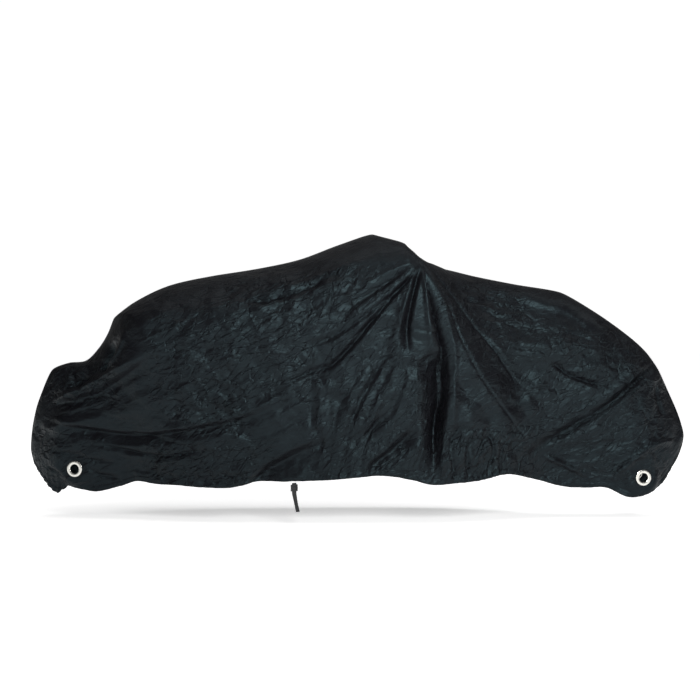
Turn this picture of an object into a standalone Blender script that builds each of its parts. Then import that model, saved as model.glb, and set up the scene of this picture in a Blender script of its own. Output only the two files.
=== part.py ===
"""Fitted cover for a long two-wheeled cargo bicycle, draped over the bicycle.

The front of the bicycle is at -X and its near side at -Y. The origin is under the peak of the
cloth, over the handlebar. Two cut side halves meet along a centre seam that runs up the nose,
over the top and down the tail. The bicycle itself is not part of the model.
"""
import math
from collections import namedtuple

import bmesh
import bpy
import numpy as np
from mathutils import Matrix, Vector

# Sheet thicknesses and the gap between pieces
CLOTH = 0.002
HEM_CLOTH = 0.003
GAP = 0.0003

# Rows of the cloth from the centre seam down to the hem
Rows = namedtuple("Rows", "roof side skirt")
ROWS = {"near": Rows(4, 9, 9), "far": Rows(4, 6, 6)}
HEM_SHARE = 0.07

# Eyelets
RING_OUTER = 0.032
RING_BORE = 0.0185
RING_BARREL = 0.0202
RING_FLANGE = 0.0014
PATCH_HOLE = 0.0205
PATCH_FLAT = 0.050
PATCH_RADIUS = 0.048
FLAT_BLEND = 0.085
ROUND_STEPS = 24

# Belly strap
STRAP_WIDTH = 0.020
STRAP_CLOTH = 0.0016
BUCKLE_WIDTH = 0.030
BUCKLE_HEIGHT = 0.026
BUCKLE_DEPTH = 0.006

# Each rib is one section of the cloth: its points on the centre seam, at the shoulder where
# roof turns into side, at the waist and on the hem. y is the half-width. steps is the number
# of columns of cloth up to the next rib.
Rib = namedtuple("Rib", "name steps seam_x seam_z shoulder_x shoulder_y shoulder_z "
                        "waist_x waist_y waist_z hem_x hem_y hem_z")
RIBS = [
    Rib("front seam", 1, -1.373, -0.769, -1.379, 0.000, -0.818, -1.381, 0.000, -0.870, -1.371, 0.000, -0.919),
    Rib("nose", 2, -1.357, -0.696, -1.325, 0.062, -0.792, -1.324, 0.070, -0.896, -1.320, 0.045, -0.998),
    Rib("nose lobe", 2, -1.332, -0.627, -1.276, 0.095, -0.725, -1.268, 0.115, -0.879, -1.265, 0.065, -1.038),
    Rib("lobe notch", 2, -1.312, -0.579, -1.244, 0.115, -0.680, -1.225, 0.135, -0.857, -1.228, 0.095, -1.006),
    Rib("fork", 2, -1.288, -0.542, -1.200, 0.140, -0.646, -1.175, 0.150, -0.836, -1.173, 0.115, -1.015),
    Rib("hub", 2, -1.223, -0.518, -1.125, 0.165, -0.617, -1.085, 0.170, -0.814, -1.095, 0.130, -1.025),
    Rib("wheel back", 2, -1.158, -0.510, -1.058, 0.195, -0.568, -1.006, 0.195, -0.781, -1.001, 0.150, -1.002),
    Rib("scuttle", 2, -1.110, -0.465, -1.001, 0.235, -0.495, -0.940, 0.225, -0.747, -0.929, 0.180, -0.979),
    Rib("box wall", 1, -1.077, -0.401, -0.965, 0.270, -0.408, -0.881, 0.260, -0.720, -0.855, 0.210, -0.988),
    Rib("box corner", 2, -1.049, -0.328, -0.915, 0.295, -0.349, -0.815, 0.290, -0.687, -0.770, 0.235, -0.989),
    Rib("box front", 3, -0.960, -0.267, -0.832, 0.310, -0.333, -0.728, 0.310, -0.666, -0.674, 0.255, -0.994),
    Rib("box middle", 3, -0.818, -0.206, -0.727, 0.320, -0.322, -0.610, 0.325, -0.638, -0.564, 0.275, -0.996),
    Rib("box rear", 3, -0.636, -0.166, -0.583, 0.325, -0.298, -0.475, 0.335, -0.626, -0.454, 0.290, -0.974),
    Rib("bench", 3, -0.454, -0.137, -0.417, 0.325, -0.260, -0.339, 0.340, -0.606, -0.322, 0.300, -0.968),
    Rib("stem foot", 3, -0.291, -0.101, -0.263, 0.320, -0.213, -0.220, 0.345, -0.548, -0.186, 0.310, -0.963),
    Rib("bar rise", 4, -0.138, -0.044, -0.108, 0.320, -0.151, -0.081, 0.350, -0.529, -0.070, 0.315, -0.952),
    Rib("bar peak", 4, 0.000, 0.000, 0.046, 0.320, -0.113, 0.046, 0.350, -0.529, 0.046, 0.315, -0.945),
    Rib("grip", 3, 0.130, -0.048, 0.150, 0.330, -0.105, 0.150, 0.350, -0.529, 0.151, 0.310, -0.962),
    Rib("grip end", 3, 0.207, -0.122, 0.208, 0.325, -0.136, 0.246, 0.335, -0.529, 0.233, 0.300, -0.982),
    Rib("saddle front", 4, 0.296, -0.141, 0.303, 0.220, -0.190, 0.345, 0.300, -0.531, 0.327, 0.280, -0.977),
    Rib("saddle back", 3, 0.417, -0.170, 0.418, 0.160, -0.230, 0.458, 0.245, -0.565, 0.419, 0.250, -0.970),
    Rib("rack front", 3, 0.579, -0.202, 0.570, 0.135, -0.265, 0.580, 0.195, -0.607, 0.532, 0.205, -0.949),
    Rib("rack", 3, 0.761, -0.234, 0.738, 0.125, -0.297, 0.714, 0.165, -0.637, 0.646, 0.135, -0.976),
    Rib("rack back", 3, 0.891, -0.307, 0.858, 0.120, -0.365, 0.815, 0.150, -0.678, 0.749, 0.100, -1.004),
    Rib("lamp", 2, 1.025, -0.401, 0.971, 0.115, -0.453, 0.911, 0.140, -0.730, 0.843, 0.090, -1.014),
    Rib("tail", 2, 1.106, -0.473, 1.056, 0.105, -0.529, 0.992, 0.130, -0.778, 0.934, 0.095, -1.013),
    Rib("tail corner", 2, 1.158, -0.546, 1.118, 0.090, -0.606, 1.065, 0.120, -0.819, 1.022, 0.095, -1.050),
    Rib("tail fall", 2, 1.199, -0.635, 1.175, 0.065, -0.704, 1.133, 0.100, -0.853, 1.091, 0.085, -1.044),
    Rib("tail end", 2, 1.223, -0.688, 1.216, 0.040, -0.754, 1.200, 0.060, -0.865, 1.174, 0.050, -0.994),
    Rib("rear seam", 0, 1.235, -0.716, 1.252, 0.000, -0.765, 1.262, 0.000, -0.810, 1.256, 0.000, -0.854),
]

# Each fold runs through three points as seen from the side. width is its half-width and
# height its rise out of the cloth, so a valley has a height below nought.
Fold = namedtuple("Fold", "name x0 z0 x1 z1 x2 z2 width height")
FOLDS = [
    Fold("fan main valley", 0.21, -0.19, 0.27, -0.53, 0.23, -0.98, 0.028, -0.056),
    Fold("fan main ridge", 0.25, -0.24, 0.30, -0.50, 0.31, -0.93, 0.026, 0.016),
    Fold("knee pleat", 0.20, -0.45, 0.21, -0.61, 0.20, -0.80, 0.026, -0.022),
    Fold("fan inner valley", 0.18, -0.20, 0.14, -0.38, 0.11, -0.50, 0.026, -0.018),
    Fold("bar drape upper", 0.16, -0.14, 0.05, -0.23, -0.09, -0.31, 0.026, -0.016),
    Fold("bar drape lower", 0.15, -0.19, -0.04, -0.40, -0.24, -0.54, 0.034, -0.040),
    Fold("bar drape ridge", 0.12, -0.16, -0.09, -0.34, -0.21, -0.43, 0.030, 0.018),
    Fold("skirt drape front", 0.05, -0.50, -0.03, -0.63, -0.10, -0.72, 0.026, -0.018),
    Fold("skirt drape rear", 0.17, -0.77, 0.09, -0.84, 0.00, -0.91, 0.026, -0.022),
    Fold("long tail fold", 0.26, -0.20, 0.45, -0.56, 0.66, -0.86, 0.028, -0.030),
    Fold("long tail ridge", 0.32, -0.22, 0.48, -0.50, 0.64, -0.74, 0.026, 0.014),
    Fold("saddle fold", 0.35, -0.32, 0.50, -0.50, 0.66, -0.66, 0.026, -0.018),
    Fold("rack fold", 0.65, -0.47, 0.80, -0.58, 1.00, -0.60, 0.026, -0.020),
    Fold("rack bump", 0.72, -0.44, 0.77, -0.42, 0.82, -0.45, 0.040, 0.022),
    Fold("tail valley", 1.10, -0.55, 0.94, -0.70, 0.68, -0.86, 0.026, -0.026),
    Fold("tail tuck", 1.20, -0.82, 1.10, -0.85, 0.96, -0.95, 0.026, -0.012),
    Fold("wheel flap", 0.67, -0.88, 0.75, -0.91, 0.89, -0.97, 0.026, -0.016),
    Fold("hem pucker front", 0.32, -0.78, 0.34, -0.88, 0.35, -0.98, 0.026, -0.016),
    Fold("hem pucker middle", 0.39, -0.78, 0.41, -0.87, 0.40, -0.97, 0.026, -0.016),
    Fold("hem pucker rear", 0.48, -0.80, 0.47, -0.87, 0.50, -0.96, 0.026, -0.014),
    Fold("swoop ridge", -1.25, -0.66, -1.11, -0.61, -0.99, -0.47, 0.026, 0.016),
    Fold("nose pocket", -1.22, -0.60, -1.12, -0.55, -1.05, -0.46, 0.034, -0.034),
    Fold("nose ridge", -1.30, -0.76, -1.08, -0.66, -0.84, -0.50, 0.030, 0.014),
    Fold("nose valley", -1.30, -0.70, -1.10, -0.72, -0.90, -0.64, 0.028, -0.012),
    Fold("box valley", -1.12, -0.80, -0.71, -0.79, -0.24, -0.62, 0.030, -0.024),
    Fold("box crease", -1.12, -0.84, -0.87, -0.89, -0.56, -0.86, 0.026, -0.020),
    Fold("skirt tuck", -0.46, -0.98, -0.34, -0.87, -0.19, -0.82, 0.030, -0.034),
    Fold("roof crease", -0.47, -0.25, -0.30, -0.20, -0.13, -0.12, 0.026, -0.016),
    Fold("grip poke", 0.19, -0.14, 0.20, -0.14, 0.21, -0.14, 0.030, 0.014),
]

# The hidden side has the same folds, a little weaker and moved along by this much in turn
FAR_SHARE = 0.8
FAR_SHIFT = 0.035

# Eyelets: middle in side view, the cloth's half-width there and how far the ring looks
# towards the end of the cover
Eyelet = namedtuple("Eyelet", "name x y z turn")
EYELETS = [
    Eyelet("front", -1.186, 0.131, -0.936, math.radians(-15)),
    Eyelet("rear", 1.085, 0.100, -0.974, math.radians(11)),
]

# The strap is sewn flat inside the near hem, in this cell of the cloth and this far along it.
# Below the hem it hangs through these points, turned about its length by turn.
STRAP_CELL_X = -0.30
STRAP_CELL_PLACE = (0.36, 0.40)
STRAP_TAB = 0.009
TAB_GAP = 0.0004
StrapPoint = namedtuple("StrapPoint", "x y z turn")
STRAP_RUN = [
    StrapPoint(-0.306, -0.2900, -0.984, math.radians(35)),
    StrapPoint(-0.306, -0.2900, -1.014, math.radians(35)),
    StrapPoint(-0.303, -0.2890, -1.034, math.radians(44)),
    StrapPoint(-0.298, -0.2880, -1.060, math.radians(50)),
    StrapPoint(-0.292, -0.2870, -1.089, math.radians(46)),
]

SIDES = {"near": -1.0, "far": 1.0}


def clear_objects():
    for item in list(bpy.data.objects):
        bpy.data.objects.remove(item, do_unlink=True)


def make_material(name, colour, roughness, metallic=0.0):
    material = bpy.data.materials.new(name)
    material.use_nodes = True
    shader = material.node_tree.nodes["Principled BSDF"]
    shader.inputs["Base Color"].default_value = (*colour, 1.0)
    shader.inputs["Roughness"].default_value = roughness
    shader.inputs["Metallic"].default_value = metallic
    return material


def add_object(name, mesh, material):
    item = bpy.data.objects.new(name, mesh)
    item.data.materials.append(material)
    bpy.context.scene.collection.objects.link(item)
    return item


def smooth_step(value):
    value = np.clip(value, 0.0, 1.0)
    return value * value * (3.0 - 2.0 * value)


def hermite_curve(points, before, after, where):
    """Smooth curve through points, read at the places in where, counted in points."""
    padded = np.concatenate([before[None], points, after[None]])
    chord = np.linalg.norm(np.diff(padded, axis=0), axis=-1)[..., None] + 1e-9
    slope = (padded[2:] - padded[:-2]) / (chord[1:] + chord[:-1])
    start = np.minimum(where.astype(int), len(points) - 2)
    part = (where - start).reshape((-1,) + (1,) * (points.ndim - 1))
    reach = chord[start + 1]
    first = 2 * part ** 3 - 3 * part ** 2 + 1
    lift = part ** 3 - 2 * part ** 2 + part
    settle = part ** 3 - part ** 2
    return (first * points[start] + (1 - first) * points[start + 1]
            + reach * (lift * slope[start] + settle * slope[start + 1]))


def rib_points():
    """The four marked points of every rib, as an array of ribs, points and x, y, z."""
    return np.array([[(rib.seam_x, 0.0, rib.seam_z),
                      (rib.shoulder_x, rib.shoulder_y, rib.shoulder_z),
                      (rib.waist_x, rib.waist_y, rib.waist_z),
                      (rib.hem_x, rib.hem_y, rib.hem_z)] for rib in RIBS])


def sheet_points(along, down):
    """The plain drape, without folds: along counts ribs and down counts a rib's points."""
    ribs = rib_points()
    mirror = np.array([1.0, -1.0, 1.0])
    tracks = hermite_curve(ribs, ribs[1] * mirror, ribs[-2] * mirror, along)
    sections = tracks.transpose(1, 0, 2)
    below_hem = sections[3] + 0.5 * (sections[3] - sections[2])
    return hermite_curve(sections, sections[1] * mirror, below_hem, down).transpose(1, 0, 2)


def sheet_normals(points):
    across = np.gradient(points, axis=0)
    down = np.gradient(points, axis=1)
    normals = np.cross(across, down)
    normals[0, :, 1] = 0.0
    normals[-1, :, 1] = 0.0
    normals[:, 0, 1] = 0.0
    normals /= np.maximum(np.linalg.norm(normals, axis=-1, keepdims=True), 1e-9)
    for end, beside in ((0, 1), (-1, -2)):
        corner = normals[end, 1] + normals[beside, 0]
        normals[end, 0] = corner / np.linalg.norm(corner)
    return normals


def distance_to_fold(fold, x, z):
    """Distance in side view to a fold's two straight runs, and the place along it, 0 to 1."""
    nearest = np.full(x.shape, 1e9)
    place = np.zeros(x.shape)
    runs = [(fold.x0, fold.z0, fold.x1, fold.z1), (fold.x1, fold.z1, fold.x2, fold.z2)]
    for number, (start_x, start_z, end_x, end_z) in enumerate(runs):
        run_x, run_z = end_x - start_x, end_z - start_z
        length = max(run_x ** 2 + run_z ** 2, 1e-9)
        part = np.clip(((x - start_x) * run_x + (z - start_z) * run_z) / length, 0.0, 1.0)
        gap = np.hypot(x - start_x - part * run_x, z - start_z - part * run_z)
        closer = gap < nearest
        nearest = np.where(closer, gap, nearest)
        place = np.where(closer, (number + part) / 2, place)
    return nearest, place


def side_folds(side):
    if side < 0:
        return FOLDS
    moved = []
    for number, fold in enumerate(FOLDS):
        shift = FAR_SHIFT * math.sin(1.7 * number)
        moved.append(fold._replace(x1=fold.x1 + shift, x2=fold.x2 + shift,
                                   height=fold.height * FAR_SHARE))
    return moved


def fold_heights(points, down, side):
    x, z = points[..., 0], points[..., 2]
    total = np.zeros(x.shape)
    for fold in side_folds(side):
        gap, place = distance_to_fold(fold, x, z)
        taper = smooth_step(0.35 + 4.0 * place) * smooth_step(0.45 + 3.5 * (1.0 - place))
        total += fold.height * np.exp(-(gap / fold.width) ** 2) * taper
    return total * smooth_step((down[None, :] - 0.1) / 0.6)


def eyelet_frame(eyelet, side):
    """Middle of an eyelet and the way that its ring looks, out of the cloth."""
    middle = Vector((eyelet.x, side * eyelet.y, eyelet.z))
    axis = Vector((math.sin(eyelet.turn), side * math.cos(eyelet.turn), 0.0))
    return middle, axis


def lay_flat(points, side):
    """Press the cloth flat around each eyelet, easing back into the drape further out."""
    for eyelet in EYELETS:
        middle, axis = eyelet_frame(eyelet, side)
        offset = points - np.array(middle)
        height = offset @ np.array(axis)
        reach = np.linalg.norm(offset - height[..., None] * np.array(axis), axis=-1)
        share = smooth_step((FLAT_BLEND - reach) / (FLAT_BLEND - PATCH_FLAT))
        points = points - (share * height)[..., None] * np.array(axis)
    return points


def draped_sheet(along, down, side):
    """Outer face of one side half, folds and all."""
    points = sheet_points(along, down)
    heights = fold_heights(points, down, side)
    points = points + heights[..., None] * sheet_normals(points)
    points[..., 1] = np.maximum(points[..., 1], GAP / 2)
    points[..., 1] *= side
    return lay_flat(points, side)


def cloth_columns():
    places = []
    for number, rib in enumerate(RIBS[:-1]):
        places += [number + step / rib.steps for step in range(rib.steps)]
    return np.array(places + [len(RIBS) - 1.0])


def cloth_rows(rows):
    roof = [step / rows.roof for step in range(rows.roof)]
    side = [1 + step / rows.side for step in range(rows.side)]
    skirt = [2 + (1 - HEM_SHARE) * step / rows.skirt for step in range(rows.skirt + 1)]
    return np.array(roof + side + skirt + [3.0])


def shell_mesh(name, outer, inner, middles, flip):
    """Closed sheet between two grids of points, with walls all round its edge.

    Both faces are split along the same diagonals, so that they stay apart. Of a cell's two
    diagonals the one that passes nearer to the drape at its middle is taken.
    """
    columns, rows = outer.shape[:2]
    mesh_builder = bmesh.new()
    layers = []
    for grid in (outer, inner):
        layers.append([[mesh_builder.verts.new(grid[i, j]) for j in range(rows)] for i in range(columns)])
    for i in range(columns - 1):
        for j in range(rows - 1):
            cell = [(i, j), (i + 1, j), (i + 1, j + 1), (i, j + 1)]
            falling = np.linalg.norm((outer[i, j] + outer[i + 1, j + 1]) / 2 - middles[i, j])
            rising = np.linalg.norm((outer[i + 1, j] + outer[i, j + 1]) / 2 - middles[i, j])
            halves = [cell[:3], [cell[0]] + cell[2:]] if falling < rising else [cell[:2] + cell[3:], cell[1:]]
            for layer, turned in ((layers[0], flip), (layers[1], not flip)):
                for half in halves:
                    corners = [layer[a][b] for a, b in half]
                    mesh_builder.faces.new(corners[::-1] if turned else corners)
    rim = [(i, 0) for i in range(columns)]
    rim += [(columns - 1, j) for j in range(1, rows)]
    rim += [(i, rows - 1) for i in range(columns - 2, -1, -1)]
    rim += [(0, j) for j in range(rows - 2, 0, -1)]
    for (i, j), (k, m) in zip(rim, rim[1:] + rim[:1]):
        corners = [layers[0][k][m], layers[0][i][j], layers[1][i][j], layers[1][k][m]]
        mesh_builder.faces.new(corners[::-1] if flip else corners)
    mesh = bpy.data.meshes.new(name)
    mesh_builder.to_mesh(mesh)
    mesh_builder.free()
    mesh.shade_smooth()
    return mesh


def add_cutter(name, middle, axis, radius, depth):
    """Cylinder along the axis that cuts cloth away and stays out of the model."""
    mesh_builder = bmesh.new()
    bmesh.ops.create_cone(mesh_builder, cap_ends=True, segments=ROUND_STEPS,
                          radius1=radius, radius2=radius, depth=depth)
    turn = Vector((0, 0, 1)).rotation_difference(axis).to_matrix().to_4x4()
    bmesh.ops.transform(mesh_builder, matrix=Matrix.Translation(middle) @ turn, verts=mesh_builder.verts)
    mesh = bpy.data.meshes.new(name)
    mesh_builder.to_mesh(mesh)
    mesh_builder.free()
    cutter = bpy.data.objects.new(name, mesh)
    cutter.hide_render = True
    cutter.display_type = "WIRE"
    bpy.context.scene.collection.objects.link(cutter)
    return cutter


def add_boolean(item, cutter, operation):
    modifier = item.modifiers.new(cutter.name, "BOOLEAN")
    modifier.operation = operation
    modifier.solver = "EXACT"
    modifier.object = cutter


def cloth_faces(side_name):
    """Grids of the outer and the inner face of one side half."""
    side = SIDES[side_name]
    mirror = np.array([1.0, side, 1.0])
    outer = draped_sheet(cloth_columns(), cloth_rows(ROWS[side_name]), side)
    thickness = np.full(outer.shape[:2], CLOTH)
    thickness[:, -2:] = HEM_CLOTH
    inner = outer - thickness[..., None] * sheet_normals(outer * mirror) * mirror
    inner[..., 1] = side * np.maximum(side * inner[..., 1], GAP / 2)
    return outer, inner


def cell_middles(side_name):
    along, down = cloth_columns(), cloth_rows(ROWS[side_name])
    return draped_sheet((along[:-1] + along[1:]) / 2, (down[:-1] + down[1:]) / 2, SIDES[side_name])


def make_panel(side_name, material):
    side = SIDES[side_name]
    name = f"panel_{side_name}"
    outer, inner = cloth_faces(side_name)
    mesh = shell_mesh(name, outer, inner, cell_middles(side_name), side < 0)
    panel = add_object(name, mesh, material)
    for eyelet in EYELETS:
        middle, axis = eyelet_frame(eyelet, side)
        cutter = add_cutter(f"cut_{eyelet.name}_{side_name}", middle, axis, PATCH_RADIUS + GAP, 0.06)
        add_boolean(panel, cutter, "DIFFERENCE")
    return panel


def turned_mesh(name, profile, middle, axis):
    """Closed ring from a profile of radius and height along the axis, in order round it."""
    mesh_builder = bmesh.new()
    turn = Vector((0, 0, 1)).rotation_difference(axis).to_matrix().to_4x4()
    place = Matrix.Translation(middle) @ turn
    rounds = []
    angles = [2 * math.pi * step / ROUND_STEPS for step in range(ROUND_STEPS)]
    for radius, height in profile:
        circle = [Vector((radius * math.cos(a), radius * math.sin(a), height)) for a in angles]
        rounds.append([mesh_builder.verts.new(place @ point) for point in circle])
    for lower, upper in zip(rounds, rounds[1:] + rounds[:1]):
        for step in range(ROUND_STEPS):
            after = (step + 1) % ROUND_STEPS
            mesh_builder.faces.new([lower[step], lower[after], upper[after], upper[step]])
    bmesh.ops.recalc_face_normals(mesh_builder, faces=mesh_builder.faces)
    mesh = bpy.data.meshes.new(name)
    mesh_builder.to_mesh(mesh)
    mesh_builder.free()
    mesh.shade_smooth()
    mesh.set_sharp_from_angle(angle=math.radians(35))
    return mesh


def make_patch(eyelet, side_name, material):
    middle, axis = eyelet_frame(eyelet, SIDES[side_name])
    profile = [(PATCH_HOLE, 0.0), (PATCH_RADIUS, 0.0), (PATCH_RADIUS, -CLOTH), (PATCH_HOLE, -CLOTH)]
    name = f"patch_{eyelet.name}_{side_name}"
    return add_object(name, turned_mesh(name, profile, middle, axis), material)


def make_ring(eyelet, side_name, material):
    middle, axis = eyelet_frame(eyelet, SIDES[side_name])
    face, back = GAP, -CLOTH - GAP
    profile = [(RING_BORE, back - RING_FLANGE), (RING_OUTER, back - RING_FLANGE), (RING_OUTER, back),
               (RING_BARREL, back), (RING_BARREL, face), (RING_OUTER, face),
               (RING_OUTER, face + RING_FLANGE), (RING_BORE, face + RING_FLANGE)]
    name = f"ring_{eyelet.name}_{side_name}"
    return add_object(name, turned_mesh(name, profile, middle, axis), material)


def strap_seat():
    """Middle of the strap's tab on the inner face of the near hem, with its width and depth."""
    inner = cloth_faces("near")[1]
    column = int(np.searchsorted(inner[:, -1, 0], STRAP_CELL_X)) - 1
    part_along, part_down = STRAP_CELL_PLACE
    upper = Vector(inner[column, -2]).lerp(Vector(inner[column + 1, -2]), part_along)
    lower = Vector(inner[column, -1]).lerp(Vector(inner[column + 1, -1]), part_along)
    wide = (Vector(inner[column + 1, -1]) - Vector(inner[column, -1])).normalized()
    drop = (lower - upper).normalized()
    thick = drop.cross(wide).normalized()
    wide = thick.cross(drop)
    if thick.y < 0:
        thick = -thick
    return upper.lerp(lower, part_down) + thick * (TAB_GAP + STRAP_CLOTH / 2), wide, thick, drop


def strap_sections():
    """Middle, width and depth of each section of the webbing, from its tab downwards."""
    seat, wide, thick, drop = strap_seat()
    sections = [(seat - drop * STRAP_TAB, wide, thick), (seat + drop * STRAP_TAB, wide, thick)]
    for point in STRAP_RUN:
        turned_wide = Vector((math.cos(point.turn), math.sin(point.turn), 0.0))
        turned_thick = Vector((-math.sin(point.turn), math.cos(point.turn), 0.0))
        sections.append((Vector((point.x, point.y, point.z)), turned_wide, turned_thick))
    return sections


def make_strap(material):
    """Webbing as a chain of flat sections, turned about its length as it hangs."""
    mesh_builder = bmesh.new()
    sections = []
    for middle, wide, thick in strap_sections():
        wide, thick = wide * STRAP_WIDTH / 2, thick * STRAP_CLOTH / 2
        corners = (middle - wide - thick, middle + wide - thick, middle + wide + thick, middle - wide + thick)
        sections.append([mesh_builder.verts.new(corner) for corner in corners])
    for upper, lower in zip(sections, sections[1:]):
        for step in range(4):
            after = (step + 1) % 4
            mesh_builder.faces.new([upper[step], upper[after], lower[after], lower[step]])
    mesh_builder.faces.new(sections[0])
    mesh_builder.faces.new(sections[-1])
    bmesh.ops.recalc_face_normals(mesh_builder, faces=mesh_builder.faces)
    mesh = bpy.data.meshes.new("belly_strap")
    mesh_builder.to_mesh(mesh)
    mesh_builder.free()
    return add_object("belly_strap", mesh, material)


def make_buckle(material):
    """Ladder buckle around the strap, with one slot that the webbing runs through."""
    above, below = STRAP_RUN[:2]
    middle = Vector((above.x, above.y, (above.z + below.z) / 2))
    place = Matrix.Translation(middle) @ Matrix.Rotation(above.turn, 4, "Z")
    sizes = {
        "strap_buckle": (BUCKLE_WIDTH, BUCKLE_DEPTH, BUCKLE_HEIGHT),
        "cut_buckle": (STRAP_WIDTH + 2 * GAP, STRAP_CLOTH + 2 * GAP, BUCKLE_HEIGHT * 2),
    }
    items = []
    for name, size in sizes.items():
        mesh_builder = bmesh.new()
        bmesh.ops.create_cube(mesh_builder, size=1.0, matrix=place @ Matrix.Diagonal((*size, 1.0)))
        mesh = bpy.data.meshes.new(name)
        mesh_builder.to_mesh(mesh)
        mesh_builder.free()
        items.append(add_object(name, mesh, material))
    buckle, cutter = items
    cutter.hide_render = True
    cutter.display_type = "WIRE"
    add_boolean(buckle, cutter, "DIFFERENCE")
    return buckle


def main():
    clear_objects()
    cloth = make_material("coated black nylon", (0.020, 0.022, 0.024), 0.5)
    metal = make_material("nickel plated brass", (0.75, 0.75, 0.73), 0.22, 1.0)
    webbing = make_material("black polypropylene webbing", (0.012, 0.012, 0.013), 0.7)
    plastic = make_material("black acetal", (0.010, 0.010, 0.011), 0.4)
    for side_name in SIDES:
        make_panel(side_name, cloth)
        for eyelet in EYELETS:
            make_patch(eyelet, side_name, cloth)
            make_ring(eyelet, side_name, metal)
    make_strap(webbing)
    make_buckle(plastic)


main()
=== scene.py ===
import math

import bmesh
import bpy
import numpy as np
from mathutils import Matrix, Vector


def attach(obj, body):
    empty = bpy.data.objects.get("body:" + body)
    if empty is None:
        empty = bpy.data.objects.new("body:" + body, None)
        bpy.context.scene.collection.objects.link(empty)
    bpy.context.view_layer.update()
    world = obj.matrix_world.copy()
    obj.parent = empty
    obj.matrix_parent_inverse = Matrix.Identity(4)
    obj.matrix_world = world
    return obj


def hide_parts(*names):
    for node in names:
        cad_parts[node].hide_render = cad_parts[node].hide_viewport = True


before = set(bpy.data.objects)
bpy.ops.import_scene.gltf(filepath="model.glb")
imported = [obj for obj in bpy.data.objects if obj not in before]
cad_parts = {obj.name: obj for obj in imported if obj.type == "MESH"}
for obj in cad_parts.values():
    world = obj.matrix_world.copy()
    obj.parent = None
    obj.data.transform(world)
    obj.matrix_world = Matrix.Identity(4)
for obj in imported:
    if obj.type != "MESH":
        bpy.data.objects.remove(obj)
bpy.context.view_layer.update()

# near is -Y, front is -X, the origin lies at the peak of the cloth, lengths in metres
outwardY = {"near": -1.0, "far": 1.0}

cover = {
    "columns": 470,
    "rows": {"roof": 34, "side": 78, "skirt": 80},
    "closer": {"middle": 0.22, "reach": 0.42, "share": 0.55},
    "hemRoll": 0.0015,
    "rollTurns": (60, 120, 180),
    "hemClimbs": (0.007, 0.014, 0.022),
    "stitchUp": 0.021,
    "stitchReach": 0.0022,
    "stitchDent": 0.0011,
    "casingSwell": 0.0012,
    "casingOver": 0.003,
    "casingBlend": 0.004,
    "gatherHeight": 0.0026,
    "gatherPitch": 0.030,
    "gatherReach": 0.060,
    "gatherLeast": (0.15, 0.1),  # everywhere, and drawn at random on top
    "gatherWander": (60, 1.1),  # shifts of the wave drawn along the hem, and their spread
    # middle x, reach and share of the full gather
    "gathers": [(-1.29, 0.07, 1.0), (-1.02, 0.06, 0.5), (0.44, 0.16, 1.0), (1.10, 0.12, 0.6)],
    "softWave": {"height": 0.0022, "pitch": 0.085},
    "finePucker": {"height": 0.0008, "pitch": 0.030},
    # crumples lose this share of their height where the cloth faces forward or back
    "calm": {"share": 0.7, "from": 0.36, "over": 0.30},
    # creases start this far down from the centre seam, where 3 is the hem, and grow to their height over so
    # much more, and over so many ribs from each end
    "seamStart": 0.06,
    "seamGrow": 0.5,
    "endGrow": 0.6,
    # the far side has the same creases, a little lower and each shifted along by up to this much
    "farShare": 0.8,
    "farShift": 0.035,
    "farBeat": 1.7,
    "centreGap": 0.0002,
    "flatCut": (2.90, 1.32),
    "cutArea": 2.75,
}

# where the random draws of each side start
seeds = {
    "near": {"crumples": 7, "facets": 200, "waves": 3, "shake": 31},
    "far": {"crumples": 19, "facets": 203, "waves": 11, "shake": 47},
}

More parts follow.
